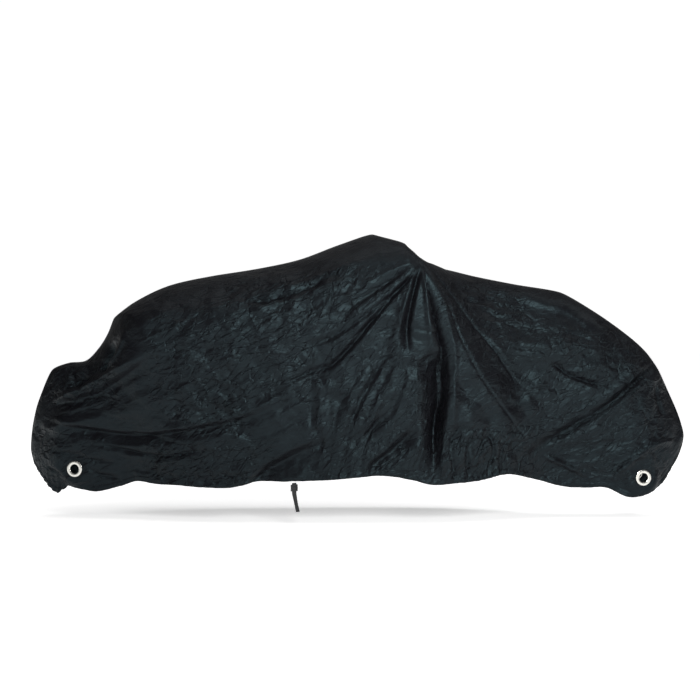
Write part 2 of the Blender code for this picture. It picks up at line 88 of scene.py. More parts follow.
# one row for each section: seam x z, shoulder x y z, waist x y z, hem x y z
ribs = {
    "front seam": (-1.373, -0.769, -1.379, 0.000, -0.818, -1.381, 0.000, -0.870, -1.371, 0.000, -0.919),
    "nose": (-1.357, -0.696, -1.325, 0.062, -0.792, -1.324, 0.070, -0.896, -1.320, 0.045, -0.998),
    "nose lobe": (-1.332, -0.627, -1.276, 0.095, -0.725, -1.268, 0.115, -0.879, -1.265, 0.065, -1.038),
    "lobe notch": (-1.312, -0.579, -1.244, 0.115, -0.680, -1.225, 0.135, -0.857, -1.228, 0.095, -1.006),
    "fork": (-1.288, -0.542, -1.200, 0.140, -0.646, -1.175, 0.150, -0.836, -1.173, 0.115, -1.015),
    "hub": (-1.223, -0.518, -1.125, 0.165, -0.617, -1.085, 0.170, -0.814, -1.095, 0.130, -1.025),
    "wheel back": (-1.158, -0.510, -1.058, 0.195, -0.568, -1.006, 0.195, -0.781, -1.001, 0.150, -1.002),
    "scuttle": (-1.110, -0.465, -1.001, 0.235, -0.495, -0.940, 0.225, -0.747, -0.929, 0.180, -0.979),
    "box wall": (-1.070, -0.404, -0.965, 0.270, -0.408, -0.881, 0.260, -0.720, -0.855, 0.210, -0.988),
    "box corner": (-1.042, -0.337, -0.915, 0.295, -0.349, -0.815, 0.290, -0.687, -0.770, 0.235, -0.989),
    "box front": (-0.958, -0.272, -0.832, 0.310, -0.333, -0.728, 0.310, -0.666, -0.674, 0.255, -0.994),
    "box middle": (-0.818, -0.206, -0.727, 0.320, -0.322, -0.610, 0.325, -0.638, -0.564, 0.275, -0.996),
    "box rear": (-0.636, -0.166, -0.583, 0.325, -0.298, -0.475, 0.335, -0.626, -0.454, 0.290, -0.974),
    "bench": (-0.454, -0.137, -0.417, 0.325, -0.260, -0.339, 0.340, -0.606, -0.322, 0.300, -0.968),
    "stem foot": (-0.291, -0.101, -0.263, 0.320, -0.213, -0.220, 0.345, -0.548, -0.186, 0.310, -0.963),
    "bar rise": (-0.138, -0.044, -0.108, 0.320, -0.151, -0.081, 0.350, -0.529, -0.070, 0.315, -0.952),
    "bar peak": (0.000, 0.000, 0.046, 0.320, -0.113, 0.046, 0.350, -0.529, 0.046, 0.315, -0.945),
    "grip": (0.112, -0.042, 0.140, 0.330, -0.103, 0.150, 0.350, -0.529, 0.151, 0.310, -0.962),
    "grip end": (0.192, -0.124, 0.198, 0.325, -0.138, 0.246, 0.335, -0.529, 0.233, 0.300, -0.982),
    "saddle front": (0.296, -0.141, 0.303, 0.220, -0.190, 0.345, 0.300, -0.531, 0.327, 0.280, -0.977),
    "saddle back": (0.417, -0.170, 0.418, 0.160, -0.230, 0.458, 0.245, -0.565, 0.419, 0.250, -0.970),
    "rack front": (0.579, -0.202, 0.570, 0.135, -0.265, 0.580, 0.195, -0.607, 0.532, 0.205, -0.949),
    "rack": (0.761, -0.234, 0.738, 0.125, -0.297, 0.714, 0.165, -0.637, 0.646, 0.135, -0.976),
    "rack back": (0.891, -0.307, 0.858, 0.120, -0.365, 0.815, 0.150, -0.678, 0.749, 0.100, -1.004),
    "lamp": (1.025, -0.401, 0.971, 0.115, -0.453, 0.911, 0.140, -0.730, 0.843, 0.090, -1.014),
    "tail": (1.106, -0.473, 1.056, 0.105, -0.529, 0.992, 0.130, -0.778, 0.934, 0.095, -1.013),
    "tail corner": (1.158, -0.546, 1.118, 0.090, -0.606, 1.065, 0.120, -0.819, 1.022, 0.095, -1.050),
    "tail fall": (1.199, -0.635, 1.175, 0.065, -0.704, 1.133, 0.100, -0.853, 1.091, 0.085, -1.044),
    "tail end": (1.223, -0.688, 1.216, 0.040, -0.754, 1.200, 0.060, -0.865, 1.174, 0.050, -0.994),
    "rear seam": (1.235, -0.716, 1.252, 0.000, -0.765, 1.262, 0.000, -0.810, 1.256, 0.000, -0.854),
}

# sections where the outline turns at a corner, with the share of the smooth curve kept there
corners = {"lobe notch": 0.5, "hub": 0.6, "box corner": 0.35, "box rear": 0.5, "bar peak": 0.45,
           "grip": 0.5, "grip end": 0.3, "rack front": 0.7, "rack": 0.6, "tail corner": 0.5}

# the main creases, one row each: points (x, z) as seen from the side, width at the start and at the end
# in mm, height in mm (below nought is a trough), then lean (over 1 is wider on the path's right) and edge,
# left out where the lean is 1 and the edge crisp
creases = {
    "cleft": ([(.19, -.128), (.235, -.29), (.277, -.46), (.282, -.62), (.25, -.8), (.23, -.99)],
              6, 13, -40, 1.1, "crisp"),
    "cleft back ridge": ([(.2, -.13), (.265, -.3), (.31, -.46), (.315, -.64), (.3, -.96)],
                         6, 12, 5, .8, "soft"),
    "blade": ([(.192, -.14), (.212, -.32), (.235, -.5)], 6, 17, 11, 1, "soft"),
    "second cleft": ([(.186, -.128), (.148, -.27), (.13, -.38), (.14, -.5)], 7, 11, -30, 1.6, "flat"),
    "second ridge": ([(.18, -.14), (.125, -.28), (.09, -.4), (.06, -.52)], 6, 24, 8, .7, "soft"),
    "knee flank": ([(.262, -.45), (.268, -.56), (.262, -.72), (.25, -.86), (.24, -.99)],
                   23, 17, -64, 3.2, "flat"),
    "knee crest": ([(.166, -.46), (.168, -.6), (.166, -.77)], 5, 6, 4),
    "knee fold top": ([(.17, -.5), (.205, -.475), (.235, -.46)], 7, 7, 7),
    "knee fold tuck": ([(.172, -.515), (.205, -.495), (.232, -.485)], 6, 6, -8),
    "bar drape low": ([(.184, -.128), (.112, -.204), (-.03, -.322), (-.166, -.413), (-.3, -.445)],
                      5, 9, -19, 1.8, "flat"),
    "bar drape ridge": ([(.176, -.135), (.085, -.222), (-.055, -.335), (-.2, -.465)],
                        6, 15, 10, 1.2, "soft"),
    "bar drape middle": ([(.172, -.14), (.068, -.259), (-.012, -.357), (-.105, -.465), (-.166, -.521),
                          (-.24, -.542), (-.36, -.6)],
                         5, 8, -22, 1.6, "flat"),
    "bar drape fine": ([(.02, -.32), (-.075, -.405), (-.12, -.43)], 5, 8, -9),
    "bar drape upper": ([(.135, -.135), (.05, -.2), (-.08, -.29), (-.17, -.38)], 6, 12, -13, 1.6, "flat"),
    "bar crest": ([(.15, -.12), (.06, -.155), (-.05, -.215)], 6, 12, 6, 1, "soft"),
    "thigh nick": ([(.075, -.475), (.025, -.495), (.01, -.51)], 5, 6, -7),
    "thigh trough": ([(.055, -.47), (-.02, -.6), (-.085, -.74), (-.13, -.92)], 9, 17, -11, 1.4, "soft"),
    "thigh ridge": ([(.1, -.5), (.03, -.64), (-.03, -.78), (-.07, -.94)], 10, 20, 7, 1, "soft"),
    "thigh streak": ([(.135, -.54), (.085, -.66), (.04, -.78)], 7, 12, -7, 1.5, "flat"),
    "thigh streak low": ([(.03, -.71), (-.03, -.82), (-.055, -.95)], 6, 10, -6, 1.5, "flat"),
    "bench streak": ([(-.02, -.5), (-.1, -.62), (-.16, -.76), (-.19, -.9)], 8, 14, -7, 1.5, "flat"),
    "skirt trough": ([(.06, -.7), (-.01, -.77), (-.09, -.83)], 14, 22, -13, 1, "soft"),
    "skirt fold": ([(-.03, -.93), (.085, -.84), (.195, -.735)], 16, 16, -28, 2.4, "flat"),
    "long tail fold": ([(.196, -.126), (.29, -.32), (.37, -.5), (.45, -.62), (.53, -.72), (.665, -.88),
                        (.73, -.955)],
                       4, 6, -5),
    "long tail plane": ([(.2, -.13), (.295, -.32), (.375, -.5), (.455, -.62), (.535, -.72), (.67, -.88)],
                        24, 60, 26, .7, "flat"),
    "saddle fold": ([(.205, -.126), (.345, -.303), (.44, -.415), (.56, -.575), (.66, -.66)],
                    6, 14, -6, 2, "flat"),
    "saddle line": ([(.21, -.13), (.345, -.303), (.44, -.415), (.56, -.575), (.66, -.66)], 3, 4, -5),
    "tail swell": ([(.33, -.75), (.45, -.765), (.6, -.775)], 110, 110, 16, 1, "soft"),
    "rear hollow": ([(.4, -.25), (.52, -.275), (.66, -.3), (.84, -.345), (.98, -.42)],
                    40, 42, -10, 1, "soft"),
    "rear swell": ([(.44, -.47), (.54, -.46), (.66, -.455), (.84, -.47), (.98, -.52)],
                   60, 62, 20, 1, "soft"),
    "rack fold west": ([(.55, -.455), (.61, -.46), (.66, -.465), (.71, -.505)], 5, 8, -6),
    "rack fold": ([(.7, -.5), (.77, -.555), (.83, -.58), (.9, -.6), (1.01, -.605)],
                  7, 11, -15, .7, "crisp"),
    "rack bump": ([(.74, -.44), (.765, -.435), (.79, -.44)], 32, 30, 12, 1, "soft"),
    "rack bump eye": ([(.745, -.475), (.765, -.45), (.79, -.445)], 7, 8, -8),
    "rack arc": ([(.715, -.42), (.765, -.39), (.84, -.385)], 8, 10, 6, 1, "soft"),
    "tail valley": ([(1.145, -.515), (1.04, -.605), (.96, -.67), (.86, -.735), (.7, -.825), (.56, -.9)],
                    8, 13, -27, 1.8, "flat"),
    "tail valley lip": ([(1.12, -.555), (1.02, -.645), (.93, -.705)], 6, 9, 7),
    "corner fold": ([(1.22, -.825), (1.14, -.835), (1.065, -.875), (1.02, -.915), (.95, -.97), (.9, -1.0)],
                    9, 13, 12, .35, "soft"),
    "corner nick": ([(1.035, -.91), (1.08, -.905), (1.12, -.895)], 5, 6, -6),
    "wheel flap": ([(.675, -.88), (.725, -.905), (.88, -.975)], 9, 12, 13, .4, "soft"),
    "tail edge": ([(1.14, -.595), (1.15, -.68), (1.18, -.75)], 8, 12, -8, 1, "soft"),
    "tail wale west": ([(.78, -.85), (.85, -.8), (.92, -.77)], 14, 18, 5, 1, "soft"),
    "hem pucker one": ([(.32, -.78), (.305, -.86), (.325, -.97)], 8, 10, -9, 1, "soft"),
    "hem pucker two": ([(.38, -.79), (.365, -.87), (.385, -.98)], 8, 10, -9, 1, "soft"),
    "hem pucker three": ([(.45, -.78), (.47, -.86), (.44, -.96)], 8, 10, -9, 1, "soft"),
    "hem pucker four": ([(.53, -.8), (.5, -.87), (.53, -.95)], 10, 12, -9, 1, "soft"),
    "swoop ridge": ([(-1.28, -.672), (-1.155, -.627), (-1.09, -.597), (-1.03, -.56), (-.96, -.515),
                     (-.8, -.43)],
                    18, 32, 25, .9, "flat"),
    "swoop lip": ([(-1.27, -.668), (-1.155, -.626), (-1.09, -.596), (-1.03, -.559), (-.96, -.514),
                   (-.86, -.465)],
                  5, 7, 7),
    "swoop shadow": ([(-1.29, -.685), (-1.1, -.635), (-.95, -.55), (-.81, -.445)],
                     10, 13, -20, 2.4, "flat"),
    "box corner ridge": ([(-1.035, -.535), (-1.0, -.49), (-.974, -.42), (-.965, -.36)],
                         9, 11, 10, .8, "soft"),
    "corner pocket": ([(-1.07, -.555), (-1.038, -.505), (-1.02, -.42)], 14, 13, -30, 1, "soft"),
    "nose hollow": ([(-1.23, -.615), (-1.15, -.585), (-1.09, -.56)], 16, 16, -20, 1, "soft"),
    "long nose ridge": ([(-1.33, -.78), (-1.11, -.735), (-.9, -.685), (-.77, -.62)], 14, 36, 13, 1, "flat"),
    "box valley": ([(-.97, -.78), (-.87, -.8), (-.8, -.82), (-.72, -.825)], 7, 9, -10),
    "box valley long": ([(-1.32, -.745), (-1.1, -.785), (-.9, -.8), (-.64, -.76), (-.48, -.715),
                         (-.33, -.64), (-.21, -.56)],
                        11, 15, -20, 2.2, "flat"),
    "box ridge": ([(-.86, -.77), (-.57, -.73), (-.43, -.67), (-.26, -.6)], 16, 26, 7, 1, "soft"),
    "box crease": ([(-1.11, -.835), (-.98, -.855), (-.9, -.87), (-.8, -.875), (-.66, -.85), (-.56, -.85)],
                   6, 9, -12, 1.5, "crisp"),
    "eyelet crease": ([(-1.28, -.865), (-1.2, -.875), (-1.11, -.9), (-1.05, -.905), (-.96, -.91)],
                      7, 9, -10, 1.4, "crisp"),
    "lobe crease": ([(-1.31, -.93), (-1.26, -.95), (-1.215, -.985)], 8, 8, -7, 1, "soft"),
    "lobe tuck": ([(-1.33, -.86), (-1.29, -.905)], 6, 6, -3),
    "eyelet tail": ([(-1.135, -.905), (-1.11, -.95), (-1.05, -.965), (-.98, -.975)], 7, 9, -9, 1, "soft"),
    "skirt tuck": ([(-.5, -1.0), (-.385, -.915), (-.27, -.855), (-.12, -.8)], 18, 26, -30, 2.6, "flat"),
    "tuck blotch": ([(-.225, -.755), (-.205, -.8), (-.205, -.86)], 18, 18, -12, 1, "soft"),
    "roof fold": ([(-.505, -.275), (-.36, -.245), (-.245, -.205), (-.1, -.13)], 9, 13, -22, 1.6, "flat"),
    "roof fold short": ([(-.515, -.275), (-.47, -.22), (-.4, -.19)], 7, 9, -9),
    "roof ridge": ([(-.34, -.235), (-.165, -.155), (.045, -.085)], 9, 13, 7, 1, "soft"),
    "packed upright": ([(-.235, -.43), (-.24, -.64), (-.235, -.85)], 5, 5, -5),
    "thigh edge": ([(-.212, -.55), (-.207, -.64), (-.2, -.84)], 15, 17, 10, .4, "flat"),
    "packed upright box": ([(-.765, -.35), (-.77, -.61), (-.76, -.86)], 5, 5, -3),
    "packed level box": ([(-.865, -.46), (-.515, -.445), (-.235, -.425)], 5, 5, -4),
    "packed level bar": ([(-.01, -.4), (.1, -.37), (.335, -.405)], 5, 5, -5),
    "packed level hem": ([(.285, -.77), (.42, -.765), (.56, -.78)], 5, 5, -5),
    "star west": ([(-.23, -.54), (-.28, -.56), (-.345, -.59)], 5, 6, -8),
    "star north": ([(-.235, -.535), (-.27, -.505), (-.3, -.46)], 5, 6, -5),
    "star south": ([(-.23, -.545), (-.195, -.585), (-.18, -.63)], 5, 6, -5),
    "nose crease one": ([(-1.265, -.56), (-1.23, -.6), (-1.195, -.64)], 7, 9, -9),
    "nose crease two": ([(-1.225, -.545), (-1.17, -.58), (-1.13, -.61)], 6, 9, -9),
    "nose crease three": ([(-1.15, -.53), (-1.11, -.555), (-1.065, -.545)], 7, 9, -8),
    "saddle crease one": ([(.31, -.21), (.39, -.23), (.485, -.22)], 6, 7, -6),
    "saddle crease two": ([(.355, -.265), (.425, -.275), (.505, -.255)], 6, 7, -5),
    "rack crease one": ([(.515, -.35), (.56, -.37), (.585, -.39)], 5, 7, -6),
    "rack crease two": ([(.9, -.35), (.955, -.36), (.99, -.35)], 6, 7, -7),
    "side crease one": ([(.6, -.31), (.64, -.35), (.62, -.405)], 5, 7, -5),
    "side crease two": ([(.83, -.485), (.875, -.47)], 6, 7, -8),
    "side crease three": ([(.925, -.475), (.955, -.49), (1.0, -.475)], 6, 8, -8),
    "side crease four": ([(.935, -.525), (.97, -.535), (1.04, -.515)], 6, 8, -7),
    "side crease five": ([(.9, -.76), (.925, -.75)], 6, 6, -4),
}

# where the cloth is crumpled: x from to, z from to, creases, direction in degrees, spread, height in mm
crumples = {
    "roof": (-.56, -.08, -.31, -.15, 24, 25, 40, 2.2),
    "roof front": (-.95, -.50, -.33, -.20, 9, 12, 30, 0.8),
    "box high": (-.84, -.26, -.64, -.34, 30, 20, 50, 2.0),
    "box middle": (-.78, -.52, -.76, -.58, 26, -35, 30, 2.8),
    "box low": (-.86, -.42, -.97, -.84, 24, 5, 35, 2.3),
    "nose": (-1.28, -1.04, -.66, -.52, 22, -20, 60, 3.0),
    "nose low": (-1.34, -1.10, -1.00, -.80, 9, -20, 35, 1.3),
    "thigh": (-.22, .20, -.96, -.48, 14, 62, 14, 1.2),
    "bar side": (-.25, .12, -.46, -.16, 10, 48, 18, 1.2),
    "hem gather": (.28, .64, -.97, -.78, 34, 70, 60, 2.3),
    "saddle": (.28, .58, -.33, -.19, 22, -5, 40, 2.0),
    "behind saddle": (.34, .66, -.66, -.36, 13, -50, 35, 1.0),
    "rack": (.70, 1.08, -.60, -.40, 32, -10, 50, 1.5),
    "tail side": (.62, 1.16, -.96, -.62, 30, 35, 35, 1.6),
    "knee": (.15, .26, -.96, -.48, 8, 60, 50, 1.4),
    "everywhere": (-1.34, 1.22, -1.00, -.18, 90, 10, 90, 1.0),
}

# the ranges that each of those short creases is drawn from
crumple = {
    "length": (0.025, 0.11),
    "bend": 0.16,
    "raised": 0.42,  # share that stand up, while the rest are troughs
    "size": (0.4, 1.3),  # of the height in the row
    "width": (3.6, 7.5),  # in mm
    "taper": (0.7, 1.4),  # width at the end for the width at the start
    "lean": (0.5, 2.0),
}

# spare cloth in per cent, and how it settles over the shape underneath
slack = {
    "along": 0.7,
    "down": 0.9,
    "hold": 0.006,
    "grip": 0.25,
    "pace": 0.55,
    "slantStiff": 0.4,
    # the cloth is held still near the centre seam, where 3 is the hem, near both ends, in ribs, and round
    # the eyelets
    "seamStart": 0.02,
    "seamReach": 0.25,
    "endReach": 0.5,
    "eyeletReach": 0.02,
    # from coarse to fine: one grid point in so many, rounds, smoothing and first shake
    "levels": [(6, 60, 0.06, 0.004), (3, 60, 0.05, 0.0015), (1, 45, 0.08, 0.0005)],
}

# where there is more of it: middle x z, reach x z, extra along and down in per cent
slackZones = {
    "hem gather": (0.46, -0.88, 0.20, 0.14, 2.5, 0.0),
    "rack": (0.86, -0.46, 0.22, 0.14, 0.7, 0.9),
    "nose": (-1.16, -0.58, 0.12, 0.10, 1.2, 1.5),
    "box middle": (-0.66, -0.70, 0.22, 0.16, 0.8, 1.2),
    "box low": (-0.65, -0.90, 0.26, 0.08, 0.5, 1.2),
    "roof": (-0.35, -0.22, 0.25, 0.10, 0.4, 1.2),
    "saddle": (0.42, -0.25, 0.16, 0.09, 0.8, 1.2),
    "thigh": (0.02, -0.72, 0.16, 0.22, 0.8, 0.0),
}

# facets pressed in by packing: middle x z, reach x z, direction in degrees, pitch, stretch along it, height
facets = {
    "all over": (0.00, -0.60, 1.60, 0.80, 14, 0.060, 2.4, 0.0026),
    "all over fine": (0.00, -0.60, 1.60, 0.80, -28, 0.026, 2.6, 0.0010),
    "roof": (-0.34, -0.24, 0.30, 0.09, 24, 0.026, 2.6, 0.0030),
    "roof front": (-0.76, -0.26, 0.20, 0.08, 12, 0.030, 2.4, 0.0018),
    "box high": (-0.58, -0.48, 0.34, 0.14, 18, 0.030, 2.0, 0.0021),
    "box middle": (-0.66, -0.68, 0.20, 0.12, -40, 0.020, 2.8, 0.0030),
    "box back": (-0.36, -0.72, 0.16, 0.20, 22, 0.028, 2.2, 0.0020),
    "box low": (-0.66, -0.90, 0.30, 0.08, 6, 0.022, 2.8, 0.0028),
    "nose": (-1.17, -0.59, 0.14, 0.10, -32, 0.032, 1.6, 0.0060),
    "nose band": (-1.12, -0.80, 0.24, 0.18, 6, 0.032, 3.2, 0.0026),
    "thigh": (-0.02, -0.72, 0.20, 0.26, 62, 0.030, 3.6, 0.0014),
    "bar side": (-0.08, -0.32, 0.20, 0.14, 42, 0.034, 3.4, 0.0012),
    "knee": (0.20, -0.66, 0.05, 0.22, 55, 0.020, 2.0, 0.0020),
    "hem gather": (0.46, -0.88, 0.20, 0.12, 76, 0.026, 2.2, 0.0036),
    "saddle": (0.44, -0.25, 0.18, 0.09, -8, 0.024, 2.6, 0.0034),
    "behind saddle": (0.50, -0.52, 0.20, 0.20, -50, 0.030, 3.0, 0.0018),
    "rack": (0.92, -0.50, 0.20, 0.11, -14, 0.026, 2.2, 0.0024),
    "tail side": (0.88, -0.78, 0.30, 0.18, 34, 0.030, 2.8, 0.0024),
    "tail end": (1.14, -0.78, 0.10, 0.20, 70, 0.032, 2.4, 0.0024),
}

eyelets = {
    "front": {"x": -1.186, "y": 0.131, "z": -0.936, "turn": -15.0},
    "rear": {"x": 1.085, "y": 0.100, "z": -0.974, "turn": 11.0},
}

ring = {
    "outer": 0.0320,
    "bore": 0.0185,
    "barrel": 0.0202,
    "standOff": 0.0003,
    "crown": 0.0021,
    "crownPower": 0.7,
    "boreFlare": 0.00018,
    "washer": 0.0012,
    "washerHalf": 0.0042,
    "depth": 0.0026,
    "clothHole": 0.0235,
    "flatRadius": 0.050,
    "flatBlend": 0.085,
    "segments": 96,
    "colour": "#C9C8C2",
    "roughness": 0.27,
}


def smoothStep(value):
    value = np.clip(value, 0.0, 1.0)
    return value * value * (3.0 - 2.0 * value)


# running total of the steps, starting at 0
def runningLength(steps):
    return np.concatenate([[0.0], np.cumsum(steps)])


# curve through points with one extra point before and after, where counts the points from 0
def hermiteCurve(points, before, after, where, ease=None):
    padded = np.concatenate([before[None], points, after[None]])
    chord = np.linalg.norm(np.diff(padded, axis=0), axis=-1)[..., None] + 1e-9
    slope = (padded[2:] - padded[:-2]) / (chord[1:] + chord[:-1])
    if ease is not None:
        slope = slope * ease
    start = np.minimum(where.astype(int), len(points) - 2)
    part = (where - start).reshape((-1,) + (1,) * (points.ndim - 1))
    reach = chord[start + 1]
    first = 2 * part**3 - 3 * part**2 + 1
    lift = part**3 - 2 * part**2 + part
    settle = part**3 - part**2
    return (first * points[start] + (1 - first) * points[start + 1]
            + reach * (lift * slope[start] + settle * slope[start + 1]))


def ribPoints():
    table = []
    for sx, sz, ax, ay, az, bx, by, bz, cx, cy, cz in ribs.values():
        table.append([(sx, 0.0, sz), (ax, ay, az), (bx, by, bz), (cx, cy, cz)])
    return np.array(table)


# smooth cloth over the bicycle on the +Y side, along counts ribs and down runs from seam 0 to hem 3
def smoothCloth(along, down):
    points = ribPoints()
    mirror = np.array([1.0, -1.0, 1.0])
    ease = np.ones((len(ribs), 4, 1))
    for number, name in enumerate(ribs):
        ease[number, :2, 0] = corners.get(name, 1.0)
    tracks = hermiteCurve(points, points[1] * mirror, points[-2] * mirror, along, ease)
    sections = tracks.transpose(1, 0, 2)
    belowHem = sections[3] + 0.5 * (sections[3] - sections[2])
    return hermiteCurve(sections, sections[1] * mirror, belowHem, down).transpose(1, 0, 2)


def clothNormals(points):
    normals = np.cross(np.gradient(points, axis=0), np.gradient(points, axis=1))
    normals[[0, -1], :, 1] = 0.0
    normals[:, 0, 1] = 0.0
    for column, row, nextColumn, nextRow in ((0, 0, 1, 1), (-1, 0, -2, 1)):
        normals[column, row] = normals[nextColumn, row] + normals[column, nextRow]
    return normals / (np.linalg.norm(normals, axis=-1)[..., None] + 1e-12)


# columns at even spacing along the middle of the cloth, closer together below the handlebar
def evenColumns(count):
    fine = np.linspace(0, len(ribs) - 1, 1500)
    middle = smoothCloth(fine, np.array([0.6, 1.5, 2.5]))
    steps = np.linalg.norm(np.diff(middle, axis=0), axis=-1).mean(axis=1)
    closer = cover["closer"]
    steps *= 1 + closer["share"] * np.exp(-((middle[1:, 1, 0] - closer["middle"]) / closer["reach"]) ** 4)
    run = runningLength(steps)
    return np.interp(np.linspace(0, run[-1], count + 1), run, fine)


def clothRows():
    parts = [np.linspace(n, n + 1, count + 1)[:-1] for n, count in enumerate(cover["rows"].values())]
    return np.concatenate(parts + [np.array([3.0])])


# signed distance to a path, positive on its right, and how far along the path from 0 to 1
def pathDistance(x, z, path):
    path = np.array(path)
    if len(path) > 2:
        spread = np.linspace(0, len(path) - 1, 4 * len(path))
        path = hermiteCurve(path, 2 * path[0] - path[1], 2 * path[-1] - path[-2], spread)
    legs = np.linalg.norm(np.diff(path, axis=0), axis=1)
    run = runningLength(legs) / legs.sum()
    best = np.full(x.shape, 9.0)
    signed = np.full(x.shape, 9.0)
    place = np.zeros(x.shape)
    for (ax, az), (bx, bz), begin, end in zip(path[:-1], path[1:], run[:-1], run[1:]):
        dx, dz = bx - ax, bz - az
        length = math.hypot(dx, dz) + 1e-12
        share = np.clip(((x - ax) * dx + (z - az) * dz) / length**2, 0, 1)
        offX, offZ = x - ax - share * dx, z - az - share * dz
        gap = np.hypot(offX, offZ)
        hand = np.sign(offX * dz - offZ * dx)
        nearer = gap < best
        best = np.where(nearer, gap, best)
        signed = np.where(nearer, gap * np.where(hand == 0, 1, hand), signed)
        place = np.where(nearer, begin + share * (end - begin), place)
    return signed, place


# section of a crease by edge, from 1 on its line to 0, with the distance from the line in widths
def creaseProfile(ratio, edge):
    if edge == "crisp":
        profile = np.exp(-(np.sqrt(ratio**2 + 0.06) - 0.245) * 1.15)
        return np.maximum(profile - 0.02, 0) / 0.98
    if edge == "flat":
        slope = 1.0 - 0.5 * (np.sqrt(ratio**2 + 0.03) - 0.17)
        profile = 0.5 * (slope + np.sqrt(slope**2 + 0.01))
        return np.maximum(profile - 0.012, 0)
    return np.exp(-(ratio**2))


# height of one crease over the cloth
def creaseHeight(x, z, path, widthStart, widthEnd, height, lean=1, edge="crisp"):
    points = np.array(path)
    reach = 0.004 * max(widthStart, widthEnd) * max(lean, 1.0)
    low, high = points.min(axis=0) - reach, points.max(axis=0) + reach
    inside = (x > low[0]) & (x < high[0]) & (z > low[1]) & (z < high[1])
    total = np.zeros(x.shape)
    if not inside.any():
        return total
    signed, place = pathDistance(x[inside], z[inside], path)
    width = 0.001 * (widthStart + (widthEnd - widthStart) * place)
    width = np.where(signed > 0, width * math.sqrt(lean), width / math.sqrt(lean))
    taper = smoothStep(0.12 + 5.0 * place) * smoothStep(2.4 * (1 - place))
    total[inside] = 0.001 * height * creaseProfile(np.abs(signed) / width, edge) * taper
    return total


# the main creases of one side
def creaseHeights(x, z, side):
    total = np.zeros(x.shape)
    share = cover["farShare"] if side == "far" else 1.0
    shift = cover["farShift"] if side == "far" else 0.0
    for number, (path, widthStart, widthEnd, height, *form) in enumerate(creases.values()):
        path = [(px + shift * math.sin(cover["farBeat"] * number), pz) for px, pz in path]
        total += creaseHeight(x, z, path, widthStart, widthEnd, height * share, *form)
    return total


# many short creases at random, more of them where the cloth is crumpled
def crumpleHeights(x, z, side):
    draw = np.random.default_rng(seeds[side]["crumples"])
    total = np.zeros(x.shape)
    for x0, x1, z0, z1, count, direction, spread, height in crumples.values():
        for _ in range(count):
            cx, cz = draw.uniform(x0, x1), draw.uniform(z0, z1)
            angle = math.radians(direction + draw.normal(0, spread))
            half = 0.5 * draw.uniform(*crumple["length"])
            bend = draw.normal(0, crumple["bend"])
            dx, dz = half * math.cos(angle), half * math.sin(angle)
            path = [(cx - dx, cz - dz), (cx - dz * bend, cz + dx * bend), (cx + dx, cz + dz)]
            size = height * draw.uniform(*crumple["size"])
            size *= 1 if draw.random() < crumple["raised"] else -1
            width = draw.uniform(*crumple["width"])
            endWidth = width * draw.uniform(*crumple["taper"])
            total += creaseHeight(x, z, path, width, endWidth, size, draw.uniform(*crumple["lean"]))
    return total


# smooth uneven field with the given wave length
def softField(x, z, pitch, seed):
    draw = np.random.default_rng(seed)
    u, v = (x + 2.0) / pitch, (z + 2.0) / pitch
    grid = draw.normal(0, 1, (int(u.max()) + 3, int(v.max()) + 3))
    i, j = u.astype(int), v.astype(int)
    fu, fv = smoothStep(u - i), smoothStep(v - j)
    return ((grid[i, j] * (1 - fu) + grid[i + 1, j] * fu) * (1 - fv)
            + (grid[i, j + 1] * (1 - fu) + grid[i + 1, j + 1] * fu) * fv)


# field of flat facets between crisp creases, as in nylon that was packed small
def facetField(x, z, direction, pitch, stretch, seed):
    draw = np.random.default_rng(seed)
    a = math.radians(direction)
    u = ((x + 3) * math.cos(a) + (z + 3) * math.sin(a)) / (pitch * stretch)
    v = (-(x + 3) * math.sin(a) + (z + 3) * math.cos(a)) / pitch
    bendU = softField(x, z, 1.7 * pitch, seed + 101)
    bendV = softField(x, z, 1.9 * pitch, seed + 102)
    u, v = u - u.min() + 2 + 0.36 * bendU, v - v.min() + 2 + 0.36 * bendV
    size = (int(u.max()) + 3, int(v.max()) + 3)
    grid = draw.normal(0, 1, size)
    slant = draw.random(size) < 0.5
    i, j = u.astype(int), v.astype(int)
    fu, fv = u - i, v - j
    low, right, up, far = grid[i, j], grid[i + 1, j], grid[i, j + 1], grid[i + 1, j + 1]
    rising = np.where(fu > fv, low + (right - low) * fu + (far - right) * fv,
                      low + (up - low) * fv + (far - up) * fu)
    falling = np.where(fu + fv < 1, low + (right - low) * fu + (up - low) * fv,
                       far + (up - far) * (1 - fu) + (right - far) * (1 - fv))
    return np.where(slant[i, j], rising, falling)


def facetHeights(x, z, side):
    total = np.zeros(x.shape)
    for number, (cx, cz, rx, rz, direction, pitch, stretch, height) in enumerate(facets.values()):
        zone = np.exp(-((x - cx) / rx) ** 4 - ((z - cz) / rz) ** 4)
        seed = seeds[side]["facets"] + 7 * number
        total += height * zone * facetField(x, z, direction, pitch, stretch, seed)
    return total


# moves each inner point of a field by a share of the way to the mean of its four neighbours
def evenedOut(field, share):
    inner = field[1:-1, 1:-1]
    around = 0.25 * (field[2:, 1:-1] + field[:-2, 1:-1] + field[1:-1, 2:] + field[1:-1, :-2])
    inner += share * (around - inner)
    return field


def eyeletAxis(name, side):
    turn = math.radians(eyelets[name]["turn"])
    return np.array([math.sin(turn), outwardY[side] * math.cos(turn), 0.0])


def eyeletMiddle(name, side):
    place = eyelets[name]
    return np.array([place["x"], outwardY[side] * place["y"], place["z"]])


# distance across the eyelet's axis and along it
def eyeletReach(points, name, side):
    axis = eyeletAxis(name, side)
    offset = points - eyeletMiddle(name, side)
    along = offset @ axis
    across = offset - along[..., None] * axis
    return np.linalg.norm(across, axis=-1), along, axis


